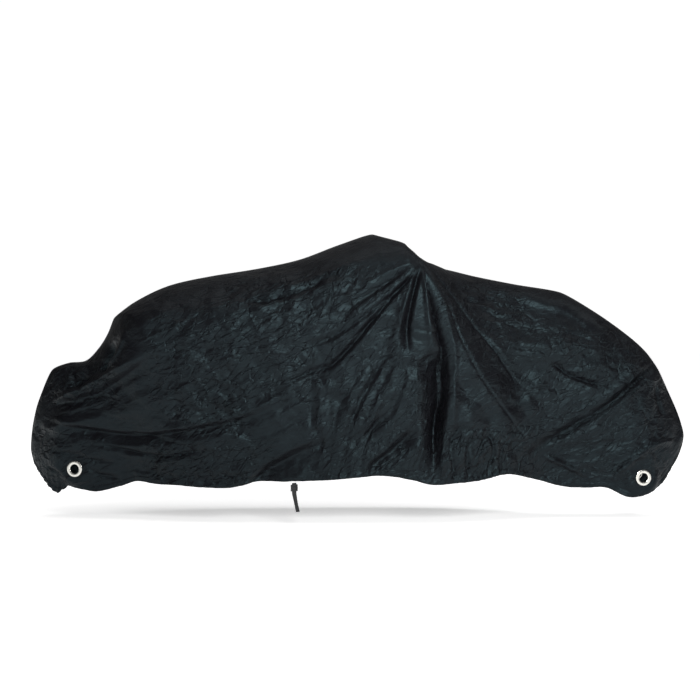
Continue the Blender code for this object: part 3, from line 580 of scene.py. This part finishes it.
# cloth pressed flat round the eyelets
def layFlat(points, side):
    for name in eyelets:
        reach, along, axis = eyeletReach(points, name, side)
        share = smoothStep((ring["flatBlend"] - reach) / (ring["flatBlend"] - ring["flatRadius"]))
        points = points - (share * along)[..., None] * axis
    return points


# share of spare cloth along and down, as a field over the side of the cover
def spareCloth(x, z):
    along = np.full(x.shape, slack["along"])
    downward = np.full(x.shape, slack["down"])
    for cx, cz, rx, rz, extraAlong, extraDown in slackZones.values():
        zone = np.exp(-((x - cx) / rx) ** 2 - ((z - cz) / rz) ** 2)
        along += extraAlong * zone
        downward += extraDown * zone
    return along * 0.01, downward * 0.01


# neighbours that a thread joins, column and row steps apart
def threadEnds(shape, stepColumn, stepRow):
    columns, rows = shape
    first = (slice(0, columns - stepColumn), slice(max(0, -stepRow), rows - max(0, stepRow)))
    last = (slice(stepColumn, columns), slice(max(0, stepRow), rows + min(0, stepRow)))
    return first, last


# lets the spare cloth buckle: threads push to their length while the bicycle underneath holds the shape
def settleLevel(points, target, facing, hold, spareAlong, spareDown, rounds, smooth):
    slant = slack["slantStiff"]
    threads = []
    for stepColumn, stepRow, stiff in ((1, 0, 1.0), (0, 1, 1.0), (1, 1, slant), (1, -1, slant)):
        first, last = threadEnds(target.shape[:2], stepColumn, stepRow)
        length = np.linalg.norm(target[last] - target[first], axis=-1)
        share = stepColumn / (stepColumn + abs(stepRow))
        spare = share * spareAlong[first] + (1 - share) * spareDown[first]
        threads.append((first, last, length * (1 + spare), stiff))
    for _ in range(rounds):
        push = np.zeros_like(points)
        for first, last, length, stiff in threads:
            gap = points[last] - points[first]
            now = np.sqrt((gap * gap).sum(axis=-1)) + 1e-9
            pull = (0.5 * stiff * (now - length) / now)[..., None] * gap
            push[first] += pull
            push[last] -= pull
        drift = evenedOut(points + slack["pace"] * push - target, smooth)
        outward = (drift * facing).sum(axis=-1)[..., None] * facing
        drift = outward + (drift - outward) * (1 - slack["grip"])
        drift *= (1 - hold)[..., None]
        points = target + drift
    return points


# coarse array of [column, row] spread over a finer grid
def spreadOver(coarse, columns, rows):
    for count in (columns, rows):
        where = np.linspace(0, len(coarse) - 1, count)
        start = np.minimum(where.astype(int), len(coarse) - 2)
        part = (where - start)[:, None, None]
        coarse = (coarse[start] * (1 - part) + coarse[start + 1] * part).swapaxes(0, 1)
    return coarse


# how firmly each point is held, with the seam, both ends and the eyelets held still
def holdShares(target, along, down):
    hold = np.full(target.shape[:2], slack["hold"])
    fromEnd = np.minimum(along, len(ribs) - 1 - along)
    hold = np.maximum(hold, 1 - smoothStep((down - slack["seamStart"]) / slack["seamReach"])[None, :])
    hold = np.maximum(hold, 1 - smoothStep(fromEnd / slack["endReach"])[:, None])
    for eyelet in eyelets:
        reach = eyeletReach(target, eyelet, "far")[0]
        hold = np.maximum(hold, smoothStep((ring["flatBlend"] - reach) / slack["eyeletReach"]))
    return hold


def settledCloth(target, x, z, along, down, side):
    spareAlong, spareDown = spareCloth(x, z)
    hold = holdShares(target, along, down)
    draw = np.random.default_rng(seeds[side]["shake"])
    drift = None
    for every, rounds, smooth, shake in slack["levels"]:
        some = (slice(0, None, every), slice(0, None, every))
        goal = target[some]
        columns, rows = goal.shape[:2]
        facing = clothNormals(goal)
        drift = np.zeros_like(goal) if drift is None else spreadOver(drift, columns, rows)
        shaken = evenedOut(draw.normal(0, shake, (columns, rows)), 1.0)
        drift = drift + shaken[..., None] * facing * (1 - hold[some])[..., None]
        settled = settleLevel(goal + drift, goal, facing, hold[some], spareAlong[some], spareDown[some],
                              rounds, smooth)
        drift = settled - goal
    return target + spreadOver(drift, *target.shape[:2])


# hem casing, its stitch line and its gathers
def hemHeights(points, side):
    drop = np.linalg.norm(np.diff(points, axis=1), axis=-1)
    above = np.concatenate([np.cumsum(drop[:, ::-1], axis=1)[:, ::-1], np.zeros((len(drop), 1))], axis=1)
    overStitch = above - cover["stitchUp"]
    casing = 1 - smoothStep((overStitch + cover["casingOver"]) / cover["casingBlend"])
    heights = cover["casingSwell"] * casing
    heights -= cover["stitchDent"] * np.exp(-(overStitch / cover["stitchReach"]) ** 2)
    run = runningLength(np.linalg.norm(np.diff(points[:, -1], axis=0), axis=-1))
    seed = seeds[side]["waves"]
    count, spread = cover["gatherWander"]
    wander = np.random.default_rng(seed + 2).normal(0, spread, count)
    wander = np.interp(run, np.linspace(0, run[-1], count), wander)
    least, more = cover["gatherLeast"]
    strength = least + more * np.random.default_rng(seed + 3).random(len(run))
    for middle, reach, share in cover["gathers"]:
        strength = np.maximum(strength, share * np.exp(-((points[:, -1, 0] - middle) / reach) ** 2))
    gathers = np.sin(2 * math.pi * run / cover["gatherPitch"] + wander) * strength
    return heights + cover["gatherHeight"] * gathers[:, None] * np.exp(-above / cover["gatherReach"])


# hem turned up inside: rows round its roll, then up behind the cloth
def hemTurned(points, normals):
    edge = points[:, -1]
    fall = edge - points[:, -4]
    fall /= np.linalg.norm(fall, axis=-1)[:, None] + 1e-12
    inward = -normals[:, -1]
    roll = cover["hemRoll"]
    turned = []
    for angle in cover["rollTurns"]:
        a = math.radians(angle)
        turned.append(edge + inward * roll * (1 - math.cos(a)) + fall * roll * math.sin(a))
    for climb in cover["hemClimbs"]:
        turned.append(edge + inward * 2 * roll - fall * climb)
    return np.array(turned).transpose(1, 0, 2)


def drapedCloth(side):
    along = evenColumns(cover["columns"])
    down = clothRows()
    points = smoothCloth(along, down)
    normals = clothNormals(points)
    x, z = points[..., 0], points[..., 2]
    heights = creaseHeights(x, z, side)
    facing = smoothStep((abs(normals[..., 0]) - cover["calm"]["from"]) / cover["calm"]["over"])
    calm = 1 - cover["calm"]["share"] * facing
    heights += calm * (crumpleHeights(x, z, side) + evenedOut(facetHeights(x, z, side), 0.5))
    for number, wave in enumerate((cover["softWave"], cover["finePucker"])):
        heights += wave["height"] * softField(x, z, wave["pitch"], seeds[side]["waves"] + number)
    heights *= smoothStep((down - cover["seamStart"]) / cover["seamGrow"])[None, :]
    heights *= smoothStep(np.minimum(along, len(ribs) - 1 - along) / cover["endGrow"])[:, None]
    heights += hemHeights(points, side)
    points = settledCloth(points + heights[..., None] * normals, x, z, along, down, side)
    points[..., 1] = outwardY[side] * np.maximum(points[..., 1], cover["centreGap"])
    normals = normals * np.array([1.0, outwardY[side], 1.0])
    points = layFlat(points, side)
    return np.concatenate([points, hemTurned(points, normals)], axis=1)


def addObject(name, builder, material):
    mesh = bpy.data.meshes.new(name)
    builder.to_mesh(mesh)
    builder.free()
    mesh.polygons.foreach_set("use_smooth", [True] * len(mesh.polygons))
    mesh.materials.append(material)
    made = bpy.data.objects.new(name, mesh)
    bpy.context.scene.collection.objects.link(made)
    return made


# 1 between low and high, falling to 0 over the fade outside them
def within(value, low, high, fade):
    return smoothStep(1.0 - (abs(value - 0.5 * (low + high)) - 0.5 * (high - low)) / fade)


# how crinkled the cloth is and how upright its crinkles are, both from 0 to 1
def crinkleShares(points):
    x, z = points[..., 0], points[..., 2]
    shares = np.zeros(x.shape)
    upright = np.zeros(x.shape)
    for name, (x0, x1, z0, z1, _, direction, _, height) in crumples.items():
        if name != "everywhere":
            zone = within(x, x0, x1, 0.06) * within(z, z0, z1, 0.05)
            shares = np.maximum(shares, zone * min(1.0, height / 2.4))
            upright = np.maximum(upright, zone * smoothStep((direction - 30) / 30))
    return shares, upright


# grid whose points are laid on an array of points [column, row]
def gridBuilder(points):
    columns, rows = points.shape[0] - 1, points.shape[1] - 1
    shares, standing = crinkleShares(points)
    builder = bmesh.new()
    builder.loops.layers.uv.new("cut")
    crinkle = builder.verts.layers.float.new("crinkle")
    upright = builder.verts.layers.float.new("upright")
    bmesh.ops.create_grid(builder, x_segments=columns, y_segments=rows, size=1.0, calc_uvs=True)
    for vert in builder.verts:
        column = round((vert.co.x + 1) * 0.5 * columns)
        row = round((vert.co.y + 1) * 0.5 * rows)
        vert.co = points[column, row]
        vert[crinkle] = shares[column, row]
        vert[upright] = standing[column, row]
    return builder


# lengths along and down the cut cloth at every column and row
def cutLengths(points):
    alongSteps = np.linalg.norm(np.diff(points, axis=0), axis=-1).mean(axis=1)
    downSteps = np.linalg.norm(np.diff(points, axis=1), axis=-1).mean(axis=0)
    return runningLength(alongSteps), runningLength(downSteps)


# hole for an eyelet, with a round rim under its ring
def cutHole(builder, eyelet, side):
    hole = ring["clothHole"]
    axis = Vector(eyeletAxis(eyelet, side))
    middle = Vector(eyeletMiddle(eyelet, side))
    around = {}
    for vert in builder.verts:
        offset = vert.co - middle
        if offset.length < 2.0 * hole:
            around[vert] = offset - offset.dot(axis) * axis
    gone = [face for face in builder.faces
            if all(vert in around and around[vert].length < hole + 0.001 for vert in face.verts)]
    bmesh.ops.delete(builder, geom=gone, context="FACES")
    for vert in builder.verts:
        if vert in around and vert.is_boundary:
            vert.co = middle + around[vert] * (hole / around[vert].length)


def clothPiece(name, side, material):
    points = drapedCloth(side)
    builder = gridBuilder(points)
    layer = builder.loops.layers.uv.active
    alongRun, downRun = cutLengths(points)
    for face in builder.faces:
        for loop in face.loops:
            place = loop[layer].uv
            place.x = alongRun[round(place.x * (len(alongRun) - 1))]
            place.y = downRun[round(place.y * (len(downRun) - 1))]
    for eyelet in eyelets:
        cutHole(builder, eyelet, side)
    if side == "far":
        bmesh.ops.reverse_faces(builder, faces=builder.faces)
    return addObject(name, builder, material)


# profile of radius and height turned about an eyelet's axis
def turnedPiece(name, profile, eyelet, side, material):
    builder = bmesh.new()
    verts = [builder.verts.new((radius, 0, height)) for radius, height in profile]
    edges = [builder.edges.new((a, b)) for a, b in zip(verts, verts[1:] + verts[:1])]
    bmesh.ops.spin(builder, geom=verts + edges, axis=(0, 0, 1), cent=(0, 0, 0), angle=2 * math.pi,
                   steps=ring["segments"], use_merge=True)
    bmesh.ops.recalc_face_normals(builder, faces=builder.faces)
    turn = Vector((0, 0, 1)).rotation_difference(Vector(eyeletAxis(eyelet, side))).to_matrix().to_4x4()
    builder.transform(Matrix.Translation(Vector(eyeletMiddle(eyelet, side))) @ turn)
    return addObject(name, builder, material)


# crown over the cloth, bore through it and rolled washer behind it
def ringPiece(name, eyelet, side, material):
    bore, low, back = ring["bore"], ring["standOff"], ring["depth"]
    middle = 0.5 * (ring["outer"] + bore)
    half = 0.5 * (ring["outer"] - bore)
    profile = []
    for step in range(13):
        a = math.pi * step / 12
        rise = ring["crown"] * math.sin(a) ** ring["crownPower"]
        profile.append((middle + half * math.cos(a), low + rise))
    for step in range(7):
        a = math.pi * step / 12
        profile.append((bore + ring["boreFlare"] * (1 - math.cos(a)), low - back * step / 6))
    for step in range(7):
        a = math.pi * step / 6
        profile.append((ring["barrel"] + ring["washerHalf"] * (1 - math.cos(a)),
                        -back - ring["washer"] * math.sin(a)))
    return turnedPiece(name, profile, eyelet, side, material)


# round backing of the cover's own cloth, with the depths of its front, its rim from and to, and its back
patch = {"radius": 0.047, "inset": 0.0006, "depths": (0.0004, 0.0010, 0.0016, 0.0021)}


def patchPiece(name, eyelet, side, material):
    hole, rim = ring["clothHole"], patch["radius"]
    flat = rim - patch["inset"]
    front, rimFront, rimBack, back = patch["depths"]
    profile = [(hole, -front), (flat, -front), (rim, -rimFront), (rim, -rimBack), (flat, -back),
               (hole, -back)]
    return turnedPiece(name, profile, eyelet, side, material)


def toLinear(colour):
    values = []
    for start in (1, 3, 5):
        part = int(colour[start:start + 2], 16) / 255
        values.append(part / 12.92 if part <= 0.04045 else ((part + 0.055) / 1.055) ** 2.4)
    return (*values, 1.0)


# sets inputs of a node, each to a value or linked from another node's output
def setInputs(tree, node, inputs):
    for key, value in inputs.items():
        if isinstance(value, bpy.types.NodeSocket):
            tree.links.new(value, node.inputs[key])
        else:
            node.inputs[key].default_value = value


# adds a shader node with its settings and inputs, and gives back its outputs
def addNode(tree, kind, inputs=None, **settings):
    made = tree.nodes.new("ShaderNode" + kind)
    for key, value in settings.items():
        setattr(made, key, value)
    setInputs(tree, made, inputs or {})
    return made.outputs


def newMaterial(name):
    material = bpy.data.materials.new(name)
    material.use_nodes = True
    tree = material.node_tree
    return material, tree, tree.nodes["Principled BSDF"]


# scales count to the metre: blotches of 330 mm, crinkles of 53 mm, flats of 56 and 32 mm, and a grain of
# 8 mm, which stands for the weave, whose threads of a fifth of a millimetre are too fine to show
nylon = {
    "face": "#0E0D10",
    "back": "#09080A",
    "tint": "#C8F4FF",
    "roughness": 0.42,
    "specular": 0.15,
    "blotch": 3.0,
    "crease": {"size": (0.070, 0.033, 0.026), "turn": -0.26, "depth": 0.0035},
    "crinkle": {"scale": 19.0, "stretch": (1.9, 1.0, 0.85), "tilts": (-0.3, -1.15), "depth": 0.0028},
    # share of the crinkles and flats where the cloth isn't crumpled
    "calmest": 0.2,
    # pressed flats of two sizes: to the metre, turn, and half the width of the creases between them
    "flats": [(18.0, -0.36, 0.0032), (31.0, -0.80, 0.0026)],
    "flatStretch": (2.5, 1.1, 0.75),
    "flatBreaks": (0.44, 0.55),
    "pressed": 0.20,
    "sharp": 0.0019,
    "grain": {"scale": 130.0, "depth": 0.0003},
}


# sharp crests of small crinkles that run along a tilted direction
def crinkleHeight(tree, place, tilt):
    crinkle = nylon["crinkle"]
    stretch = addNode(tree, "Mapping", {"Vector": place, "Scale": crinkle["stretch"],
                                        "Rotation": (0.0, tilt, 0.0)}, vector_type="TEXTURE")
    sharp = addNode(tree, "TexNoise", {"Vector": stretch["Vector"], "Scale": crinkle["scale"],
                                       "Detail": 4.0, "Roughness": 0.5, "Lacunarity": 2.1, "Offset": 0.9,
                                       "Gain": 1.4, "Distortion": 0.25}, noise_type="RIDGED_MULTIFRACTAL")
    return addNode(tree, "Math", {0: sharp["Fac"], 1: 2.0}, operation="POWER")["Value"]


# small flats, each leaning its own way, and the broken straight creases between them
def flatHeights(tree, place, scale, turn, width):
    stretch = addNode(tree, "Mapping", {"Vector": place, "Scale": nylon["flatStretch"],
                                        "Rotation": (0.0, turn, 0.0)}, vector_type="TEXTURE")
    cells = addNode(tree, "TexVoronoi", {"Vector": stretch["Vector"], "Scale": scale})
    inCell = addNode(tree, "VectorMath", {0: stretch["Vector"], 1: cells["Position"]},
                     operation="SUBTRACT")
    leaning = addNode(tree, "VectorMath", {0: cells["Color"], 1: (0.5, 0.5, 0.5)}, operation="SUBTRACT")
    flat = addNode(tree, "VectorMath", {0: inCell["Vector"], 1: leaning["Vector"]},
                   operation="DOT_PRODUCT")
    edges = addNode(tree, "TexVoronoi", {"Vector": stretch["Vector"], "Scale": scale},
                    feature="DISTANCE_TO_EDGE")
    valley = addNode(tree, "MapRange", {"Value": edges["Distance"], "From Max": scale * width})
    breaks = addNode(tree, "TexNoise", {"Vector": place, "Scale": 1.3 * scale, "Detail": 1.0})
    whole, gone = nylon["flatBreaks"]
    broken = addNode(tree, "MapRange", {"Value": breaks["Fac"], "From Min": whole, "From Max": gone})
    line = addNode(tree, "Math", {0: valley["Result"], 1: broken["Result"]}, operation="MAXIMUM")
    return flat["Value"], line["Value"]


# plain-woven nylon with a satin polyurethane coating: nearly black, with a cold sheen that every crease of
# its packing breaks up
def coatedNylon():
    material, tree, shader = newMaterial("coated nylon")
    place = addNode(tree, "TexCoord")["Object"]
    blotch = addNode(tree, "TexNoise", {"Vector": place, "Scale": nylon["blotch"], "Detail": 4.0,
                                        "Roughness": 0.6})
    base = addNode(tree, "Mix", {"Factor": blotch["Fac"], "A": toLinear(nylon["back"]),
                                 "B": toLinear(nylon["face"])}, data_type="RGBA")
    # long shallow creases, small sharp crinkles where the cloth is crumpled, pressed flats, and the grain
    streak = addNode(tree, "Mapping", {"Vector": place, "Scale": nylon["crease"]["size"],
                                       "Rotation": (0.0, nylon["crease"]["turn"], 0.0)},
                     vector_type="TEXTURE")
    crease = addNode(tree, "TexNoise", {"Vector": streak["Vector"], "Scale": 1.0, "Detail": 5.0,
                                        "Roughness": 0.6, "Distortion": 0.6})
    lying, standing = [crinkleHeight(tree, place, tilt) for tilt in nylon["crinkle"]["tilts"]]
    crumpled = addNode(tree, "Attribute", attribute_name="crinkle")
    upright = addNode(tree, "Attribute", attribute_name="upright")
    crinkle = addNode(tree, "Mix", {"Factor": upright["Fac"], "A": lying, "B": standing}, data_type="FLOAT")
    share = addNode(tree, "MapRange", {"Value": crumpled["Fac"], "To Min": nylon["calmest"], "To Max": 1.0})
    shared = [(crinkle["Result"], nylon["crinkle"]["depth"])]
    for scale, turn, width in nylon["flats"]:
        flat, line = flatHeights(tree, place, scale, turn, width)
        shared += [(flat, nylon["pressed"]), (line, nylon["sharp"])]
    layers = [(crease["Fac"], nylon["crease"]["depth"])]
    for height, depth in shared:
        held = addNode(tree, "Math", {0: height, 1: share["Result"]}, operation="MULTIPLY")
        layers.append((held["Value"], depth))
    grain = addNode(tree, "TexNoise", {"Vector": place, "Scale": nylon["grain"]["scale"], "Detail": 3.0,
                                       "Roughness": 0.6})
    layers.append((grain["Fac"], nylon["grain"]["depth"]))
    below = {}
    for height, depth in layers:
        bump = addNode(tree, "Bump", {"Height": height, "Distance": depth, "Strength": 1.0, **below})
        below = {"Normal": bump["Normal"]}
    setInputs(tree, shader, {"Base Color": base["Result"], "Roughness": nylon["roughness"],
                             "Specular IOR Level": nylon["specular"],
                             "Specular Tint": toLinear(nylon["tint"]), **below})
    return material


def plainMaterial(name, finish, metallic):
    material, tree, shader = newMaterial(name)
    setInputs(tree, shader, {"Base Color": toLinear(finish["colour"]), "Roughness": finish["roughness"],
                             "Metallic": metallic})
    return material


# nickel-plated pressed brass: pale, bright and a little blurred by the press
def nickel():
    return plainMaterial("nickel plate", ring, 1.0)


# black woven polypropylene: dull, with a soft light along its ribs
def webbing():
    return plainMaterial("woven webbing", strap, 0.0)


# moulded black acetal: smooth, with a low gloss
def acetal():
    return plainMaterial("moulded acetal", buckle, 0.0)


seam = {
    "halfWidth": 0.0055,
    "height": 0.0013,
    "step": 0.005,
    "downPoints": 60,
    "topPoints": 560,
    # across in half widths, up in heights: two ridges with the stitch line between them
    "section": [(-1.0, -1.2), (-0.95, 0.4), (-0.75, 0.9), (-0.35, 1.0), (0.0, 0.55), (0.35, 1.0),
                (0.75, 0.9), (0.95, 0.4), (1.0, -1.2)],
}


# felled seam along the centre plane, from the front hem over the top to the rear hem
def seamPiece(name, material):
    down = np.linspace(3, 0, seam["downPoints"])
    front = smoothCloth(np.array([0.0]), down)[0]
    top = smoothCloth(evenColumns(seam["topPoints"]), np.array([0.0]))[:, 0]
    rear = smoothCloth(np.array([len(ribs) - 1.0]), down[::-1])[0]
    path = np.concatenate([front[:-1], top, rear[1:]])
    run = runningLength(np.linalg.norm(np.diff(path, axis=0), axis=-1))
    even = np.linspace(0, run[-1], int(run[-1] / seam["step"]))
    path = np.stack([np.interp(even, run, path[:, k]) for k in range(3)], axis=1)
    tangent = np.gradient(path, axis=0)
    outward = np.stack([-tangent[:, 2], np.zeros(len(path)), tangent[:, 0]], axis=1)
    outward /= np.linalg.norm(outward, axis=-1)[:, None]
    rows = [path + outward * seam["height"] * up + np.array([0, seam["halfWidth"] * across, 0])
            for across, up in seam["section"]]
    builder = gridBuilder(np.stack(rows, axis=1))
    bmesh.ops.reverse_faces(builder, faces=builder.faces)
    return addObject(name, builder, material)


strap = {
    "width": 0.020,
    "thickness": 0.0014,
    "ribs": 7,
    "valley": 0.75,  # share of the thickness left between the ribs
    "rings": 60,
    # x y z and the turn of the strap's flat side, from the hem down
    "route": [(-0.306, -0.2900, -0.975, 35), (-0.306, -0.2900, -1.014, 35), (-0.303, -0.2890, -1.034, 44),
              (-0.298, -0.2880, -1.060, 50), (-0.292, -0.2870, -1.089, 46)],
    "colour": "#141517",
    "roughness": 0.7,
}


def strapPiece(name, material):
    builder = bmesh.new()
    halfWidth, halfDepth = 0.5 * strap["width"], 0.5 * strap["thickness"]
    valley, count = strap["valley"], 4 * strap["ribs"]
    section = []
    for step in range(count + 1):
        share = step / count
        rib = abs(math.cos(math.pi * strap["ribs"] * share))
        section.append((halfWidth * (2 * share - 1), halfDepth * (valley + (1 - valley) * rib)))
    outline = section + [(across, -depth) for across, depth in reversed(section)]
    points = np.array([spot[:3] for spot in strap["route"]])
    turns = np.array([[spot[3]] for spot in strap["route"]], dtype=float)
    where = np.linspace(0, len(points) - 1, strap["rings"])
    path = hermiteCurve(points, 2 * points[0] - points[1], 2 * points[-1] - points[-2], where)
    twist = hermiteCurve(turns, turns[0], turns[-1], where)[:, 0]
    rings = []
    for spot, turn in zip(path, twist):
        a = math.radians(turn)
        sideways = Vector((math.cos(a), math.sin(a), 0))
        facing = Vector((math.sin(a), -math.cos(a), 0))
        rings.append([builder.verts.new(Vector(spot) + sideways * across + facing * depth)
                      for across, depth in outline])
    for upper, lower in zip(rings, rings[1:]):
        for k in range(len(upper)):
            after = (k + 1) % len(upper)
            builder.faces.new([upper[k], upper[after], lower[after], lower[k]])
    builder.faces.new(list(reversed(rings[0])))
    builder.faces.new(rings[-1])
    bmesh.ops.recalc_face_normals(builder, faces=builder.faces)
    return addObject(name, builder, material)


buckle = {
    "width": 0.030,
    "height": 0.026,
    "depth": 0.006,
    "bar": 0.0042,
    "bevel": 0.0008,
    # middle and size of the cross bars, in depths, and the height of the one between, in bars
    "ends": (0.2, 0.8),
    "between": (-0.3, 0.6, 1.2),
    "colour": "#111214",
    "roughness": 0.38,
}


def bucklePiece(name, material):
    builder = bmesh.new()
    x, y, z, turn = [0.5 * (a + b) for a, b in zip(strap["route"][0], strap["route"][1])]
    width, height, depth, bar = buckle["width"], buckle["height"], buckle["depth"], buckle["bar"]
    endOff, endSize = buckle["ends"]
    betweenOff, betweenSize, betweenTall = buckle["between"]
    bars = [((end * 0.5 * (width - bar), 0, 0), (bar, depth, height)) for end in (-1, 1)]
    for end in (1, -1):
        bars.append(((0, endOff * depth, end * 0.5 * (height - bar)), (width, depth * endSize, bar)))
    bars.append(((0, betweenOff * depth, 0.0), (width, depth * betweenSize, bar * betweenTall)))
    for middle, size in bars:
        bmesh.ops.create_cube(builder, size=1.0,
                              matrix=Matrix.Translation(middle) @ Matrix.Diagonal((*size, 1.0)))
    bmesh.ops.bevel(builder, geom=builder.edges, offset=buckle["bevel"], segments=3, profile=0.5,
                    affect="EDGES", material=-1)
    builder.transform(Matrix.Translation((x, y, z)) @ Matrix.Rotation(math.radians(turn), 4, "Z"))
    return addObject(name, builder, material)


print("materials")
nylonCloth = coatedNylon()
ringMetal = nickel()
strapWeb = webbing()
buckleMould = acetal()

print("cloth")
clothPieces = {}
for side in ("near", "far"):
    clothPieces[side] = clothPiece(f"cloth_{side}", side, nylonCloth)
    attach(clothPieces[side], "root")
    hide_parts(f"panel_{side}")
centreSeam = seamPiece("centre_seam", nylonCloth)
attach(centreSeam, "root")

print("eyelets")
patchPieces = {"near": [], "far": []}
for eyelet in eyelets:
    for side in ("near", "far"):
        backing = patchPiece(f"backing_{eyelet}_{side}", eyelet, side, nylonCloth)
        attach(backing, "root")
        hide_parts(f"patch_{eyelet}_{side}")
        patchPieces[side].append(backing)
        rolled = ringPiece(f"eyelet_{eyelet}_{side}", eyelet, side, ringMetal)
        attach(rolled, "root")
        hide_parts(f"ring_{eyelet}_{side}")

print("strap")
bellyStrap = strapPiece("strap_webbing", strapWeb)
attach(bellyStrap, "root")
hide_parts("belly_strap")
ladder = bucklePiece("ladder_buckle", buckleMould)
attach(ladder, "root")
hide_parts("strap_buckle")

studio = {
    "floorZ": -1.140,
    "floorHalf": 40.0,
    "floorWhite": 0.93,
    "floorRoughness": 0.9,
    # the floor's own glow, near the object and far from it
    "glowFrom": 1.3,
    "glowTo": 3.2,
    "glowNear": 0.52,
    "glowFar": 0.95,
    "wallRadius": 24.0,
    "wallHeight": 44.0,
    "wallMiddle": 20.0,
    "wall": 1.02,
    # light of the room in front of the object and behind it, and where it grows between them
    "front": 0.06,
    "behind": 0.20,
    "backFrom": 0.76,
    "backTo": 0.955,
}

# area lights: place, aim, size, power, and colour where it isn't white
lights = {
    "canopy softbox": ((-0.4, 0.9, 3.2), (-0.4, 0, -0.3), (3.4, 1.2), 20.0),
    "side softbox": ((2.3, 0.15, 1.9), (0.8, 0, -0.3), (1.7, 1.7), 13.0),
    "key softbox": ((0.75, -3.6, 0.6), (0.15, 0, -0.5), (1.5, 1.2), 157.0),
    "fill softbox": ((-3.6, -5.6, 1.2), (-0.3, 0, -0.6), (2.4, 2.0), 3.0),
    "hood softbox": ((-0.2, -1.7, 2.4), (-0.2, 0, -0.35), (3.2, 0.8), 30.0, (1.0, 0.96, 0.94)),
    "top softbox": ((0.4, 0.6, 3.6), (0, 0, -0.4), (3.4, 2.0), 95.0),
}

lens = {"length": 88.9, "sensor": 36.0, "aim": (-0.089, 0, -0.466), "distance": 7.0, "elevation": 1.6}


def areaLight(name, place, aim, size, power, colour=(1.0, 1.0, 1.0)):
    lamp = bpy.data.lights.new(name, "AREA")
    lamp.shape = "RECTANGLE"
    lamp.size, lamp.size_y = size
    lamp.energy = power
    lamp.color = colour
    made = bpy.data.objects.new(name, lamp)
    made.visible_camera = False
    made.location = place
    made.rotation_euler = (Vector(aim) - Vector(place)).to_track_quat("-Z", "Y").to_euler()
    bpy.context.scene.collection.objects.link(made)
    return made


print("studio")
builder = bmesh.new()
bmesh.ops.create_grid(builder, x_segments=1, y_segments=1, size=studio["floorHalf"])
bmesh.ops.translate(builder, verts=builder.verts, vec=(0, 0, studio["floorZ"]))
floorPaint, floorTree, floorShader = newMaterial("white floor")
spot = addNode(floorTree, "TexCoord")
away = addNode(floorTree, "VectorMath", {0: spot["Object"]}, operation="LENGTH")
glow = addNode(floorTree, "MapRange", {"Value": away["Value"], "From Min": studio["glowFrom"],
                                       "From Max": studio["glowTo"], "To Min": studio["glowNear"],
                                       "To Max": studio["glowFar"]}, interpolation_type="SMOOTHSTEP")
setInputs(floorTree, floorShader, {"Base Color": (*[studio["floorWhite"]] * 3, 1),
                                   "Roughness": studio["floorRoughness"], "Emission Color": (1, 1, 1, 1),
                                   "Emission Strength": glow["Result"]})
floor = addObject("floor", builder, floorPaint)

# a white wall all round for the eye, which the cloth does not mirror
builder = bmesh.new()
bmesh.ops.create_cone(builder, segments=96, radius1=studio["wallRadius"], radius2=studio["wallRadius"],
                      depth=studio["wallHeight"], cap_ends=True)
bmesh.ops.translate(builder, verts=builder.verts, vec=(0, 0, studio["wallMiddle"]))
wallPaint, wallTree, wallShader = newMaterial("white wall")
setInputs(wallTree, wallShader, {"Base Color": (0, 0, 0, 1), "Emission Color": (1, 1, 1, 1),
                                 "Emission Strength": studio["wall"]})
wallPaint.cycles.emission_sampling = "NONE"
backdrop = addObject("backdrop", builder, wallPaint)
backdrop.visible_glossy = False
backdrop.visible_diffuse = False
backdrop.visible_shadow = False

# a dim room, a little lighter behind the object
world = bpy.data.worlds.new("studio")
bpy.context.scene.world = world
world.use_nodes = True
direction = addNode(world.node_tree, "TexCoord")
parts = addNode(world.node_tree, "SeparateXYZ", {"Vector": direction["Generated"]})
room = addNode(world.node_tree, "MapRange", {"Value": parts["Y"], "From Min": studio["backFrom"],
                                             "From Max": studio["backTo"], "To Min": studio["front"],
                                             "To Max": studio["behind"]}, interpolation_type="SMOOTHSTEP")
setInputs(world.node_tree, world.node_tree.nodes["Background"], {"Color": (1, 1, 1, 1),
                                                                 "Strength": room["Result"]})

softboxes = {name: areaLight(name, *row) for name, row in lights.items()}
softboxes["top softbox"].visible_glossy = False

camera = bpy.data.cameras.new("camera")
camera.lens = lens["length"]
camera.sensor_width = lens["sensor"]
cameraObject = bpy.data.objects.new("camera", camera)
aim = Vector(lens["aim"])
elevation = math.radians(lens["elevation"])
back, up = lens["distance"] * math.cos(elevation), lens["distance"] * math.sin(elevation)
cameraObject.location = aim + Vector((0, -back, up))
cameraObject.rotation_euler = (aim - cameraObject.location).to_track_quat("-Z", "Y").to_euler()
bpy.context.scene.collection.objects.link(cameraObject)
bpy.context.scene.camera = cameraObject
bpy.context.scene.view_settings.view_transform = "Standard"
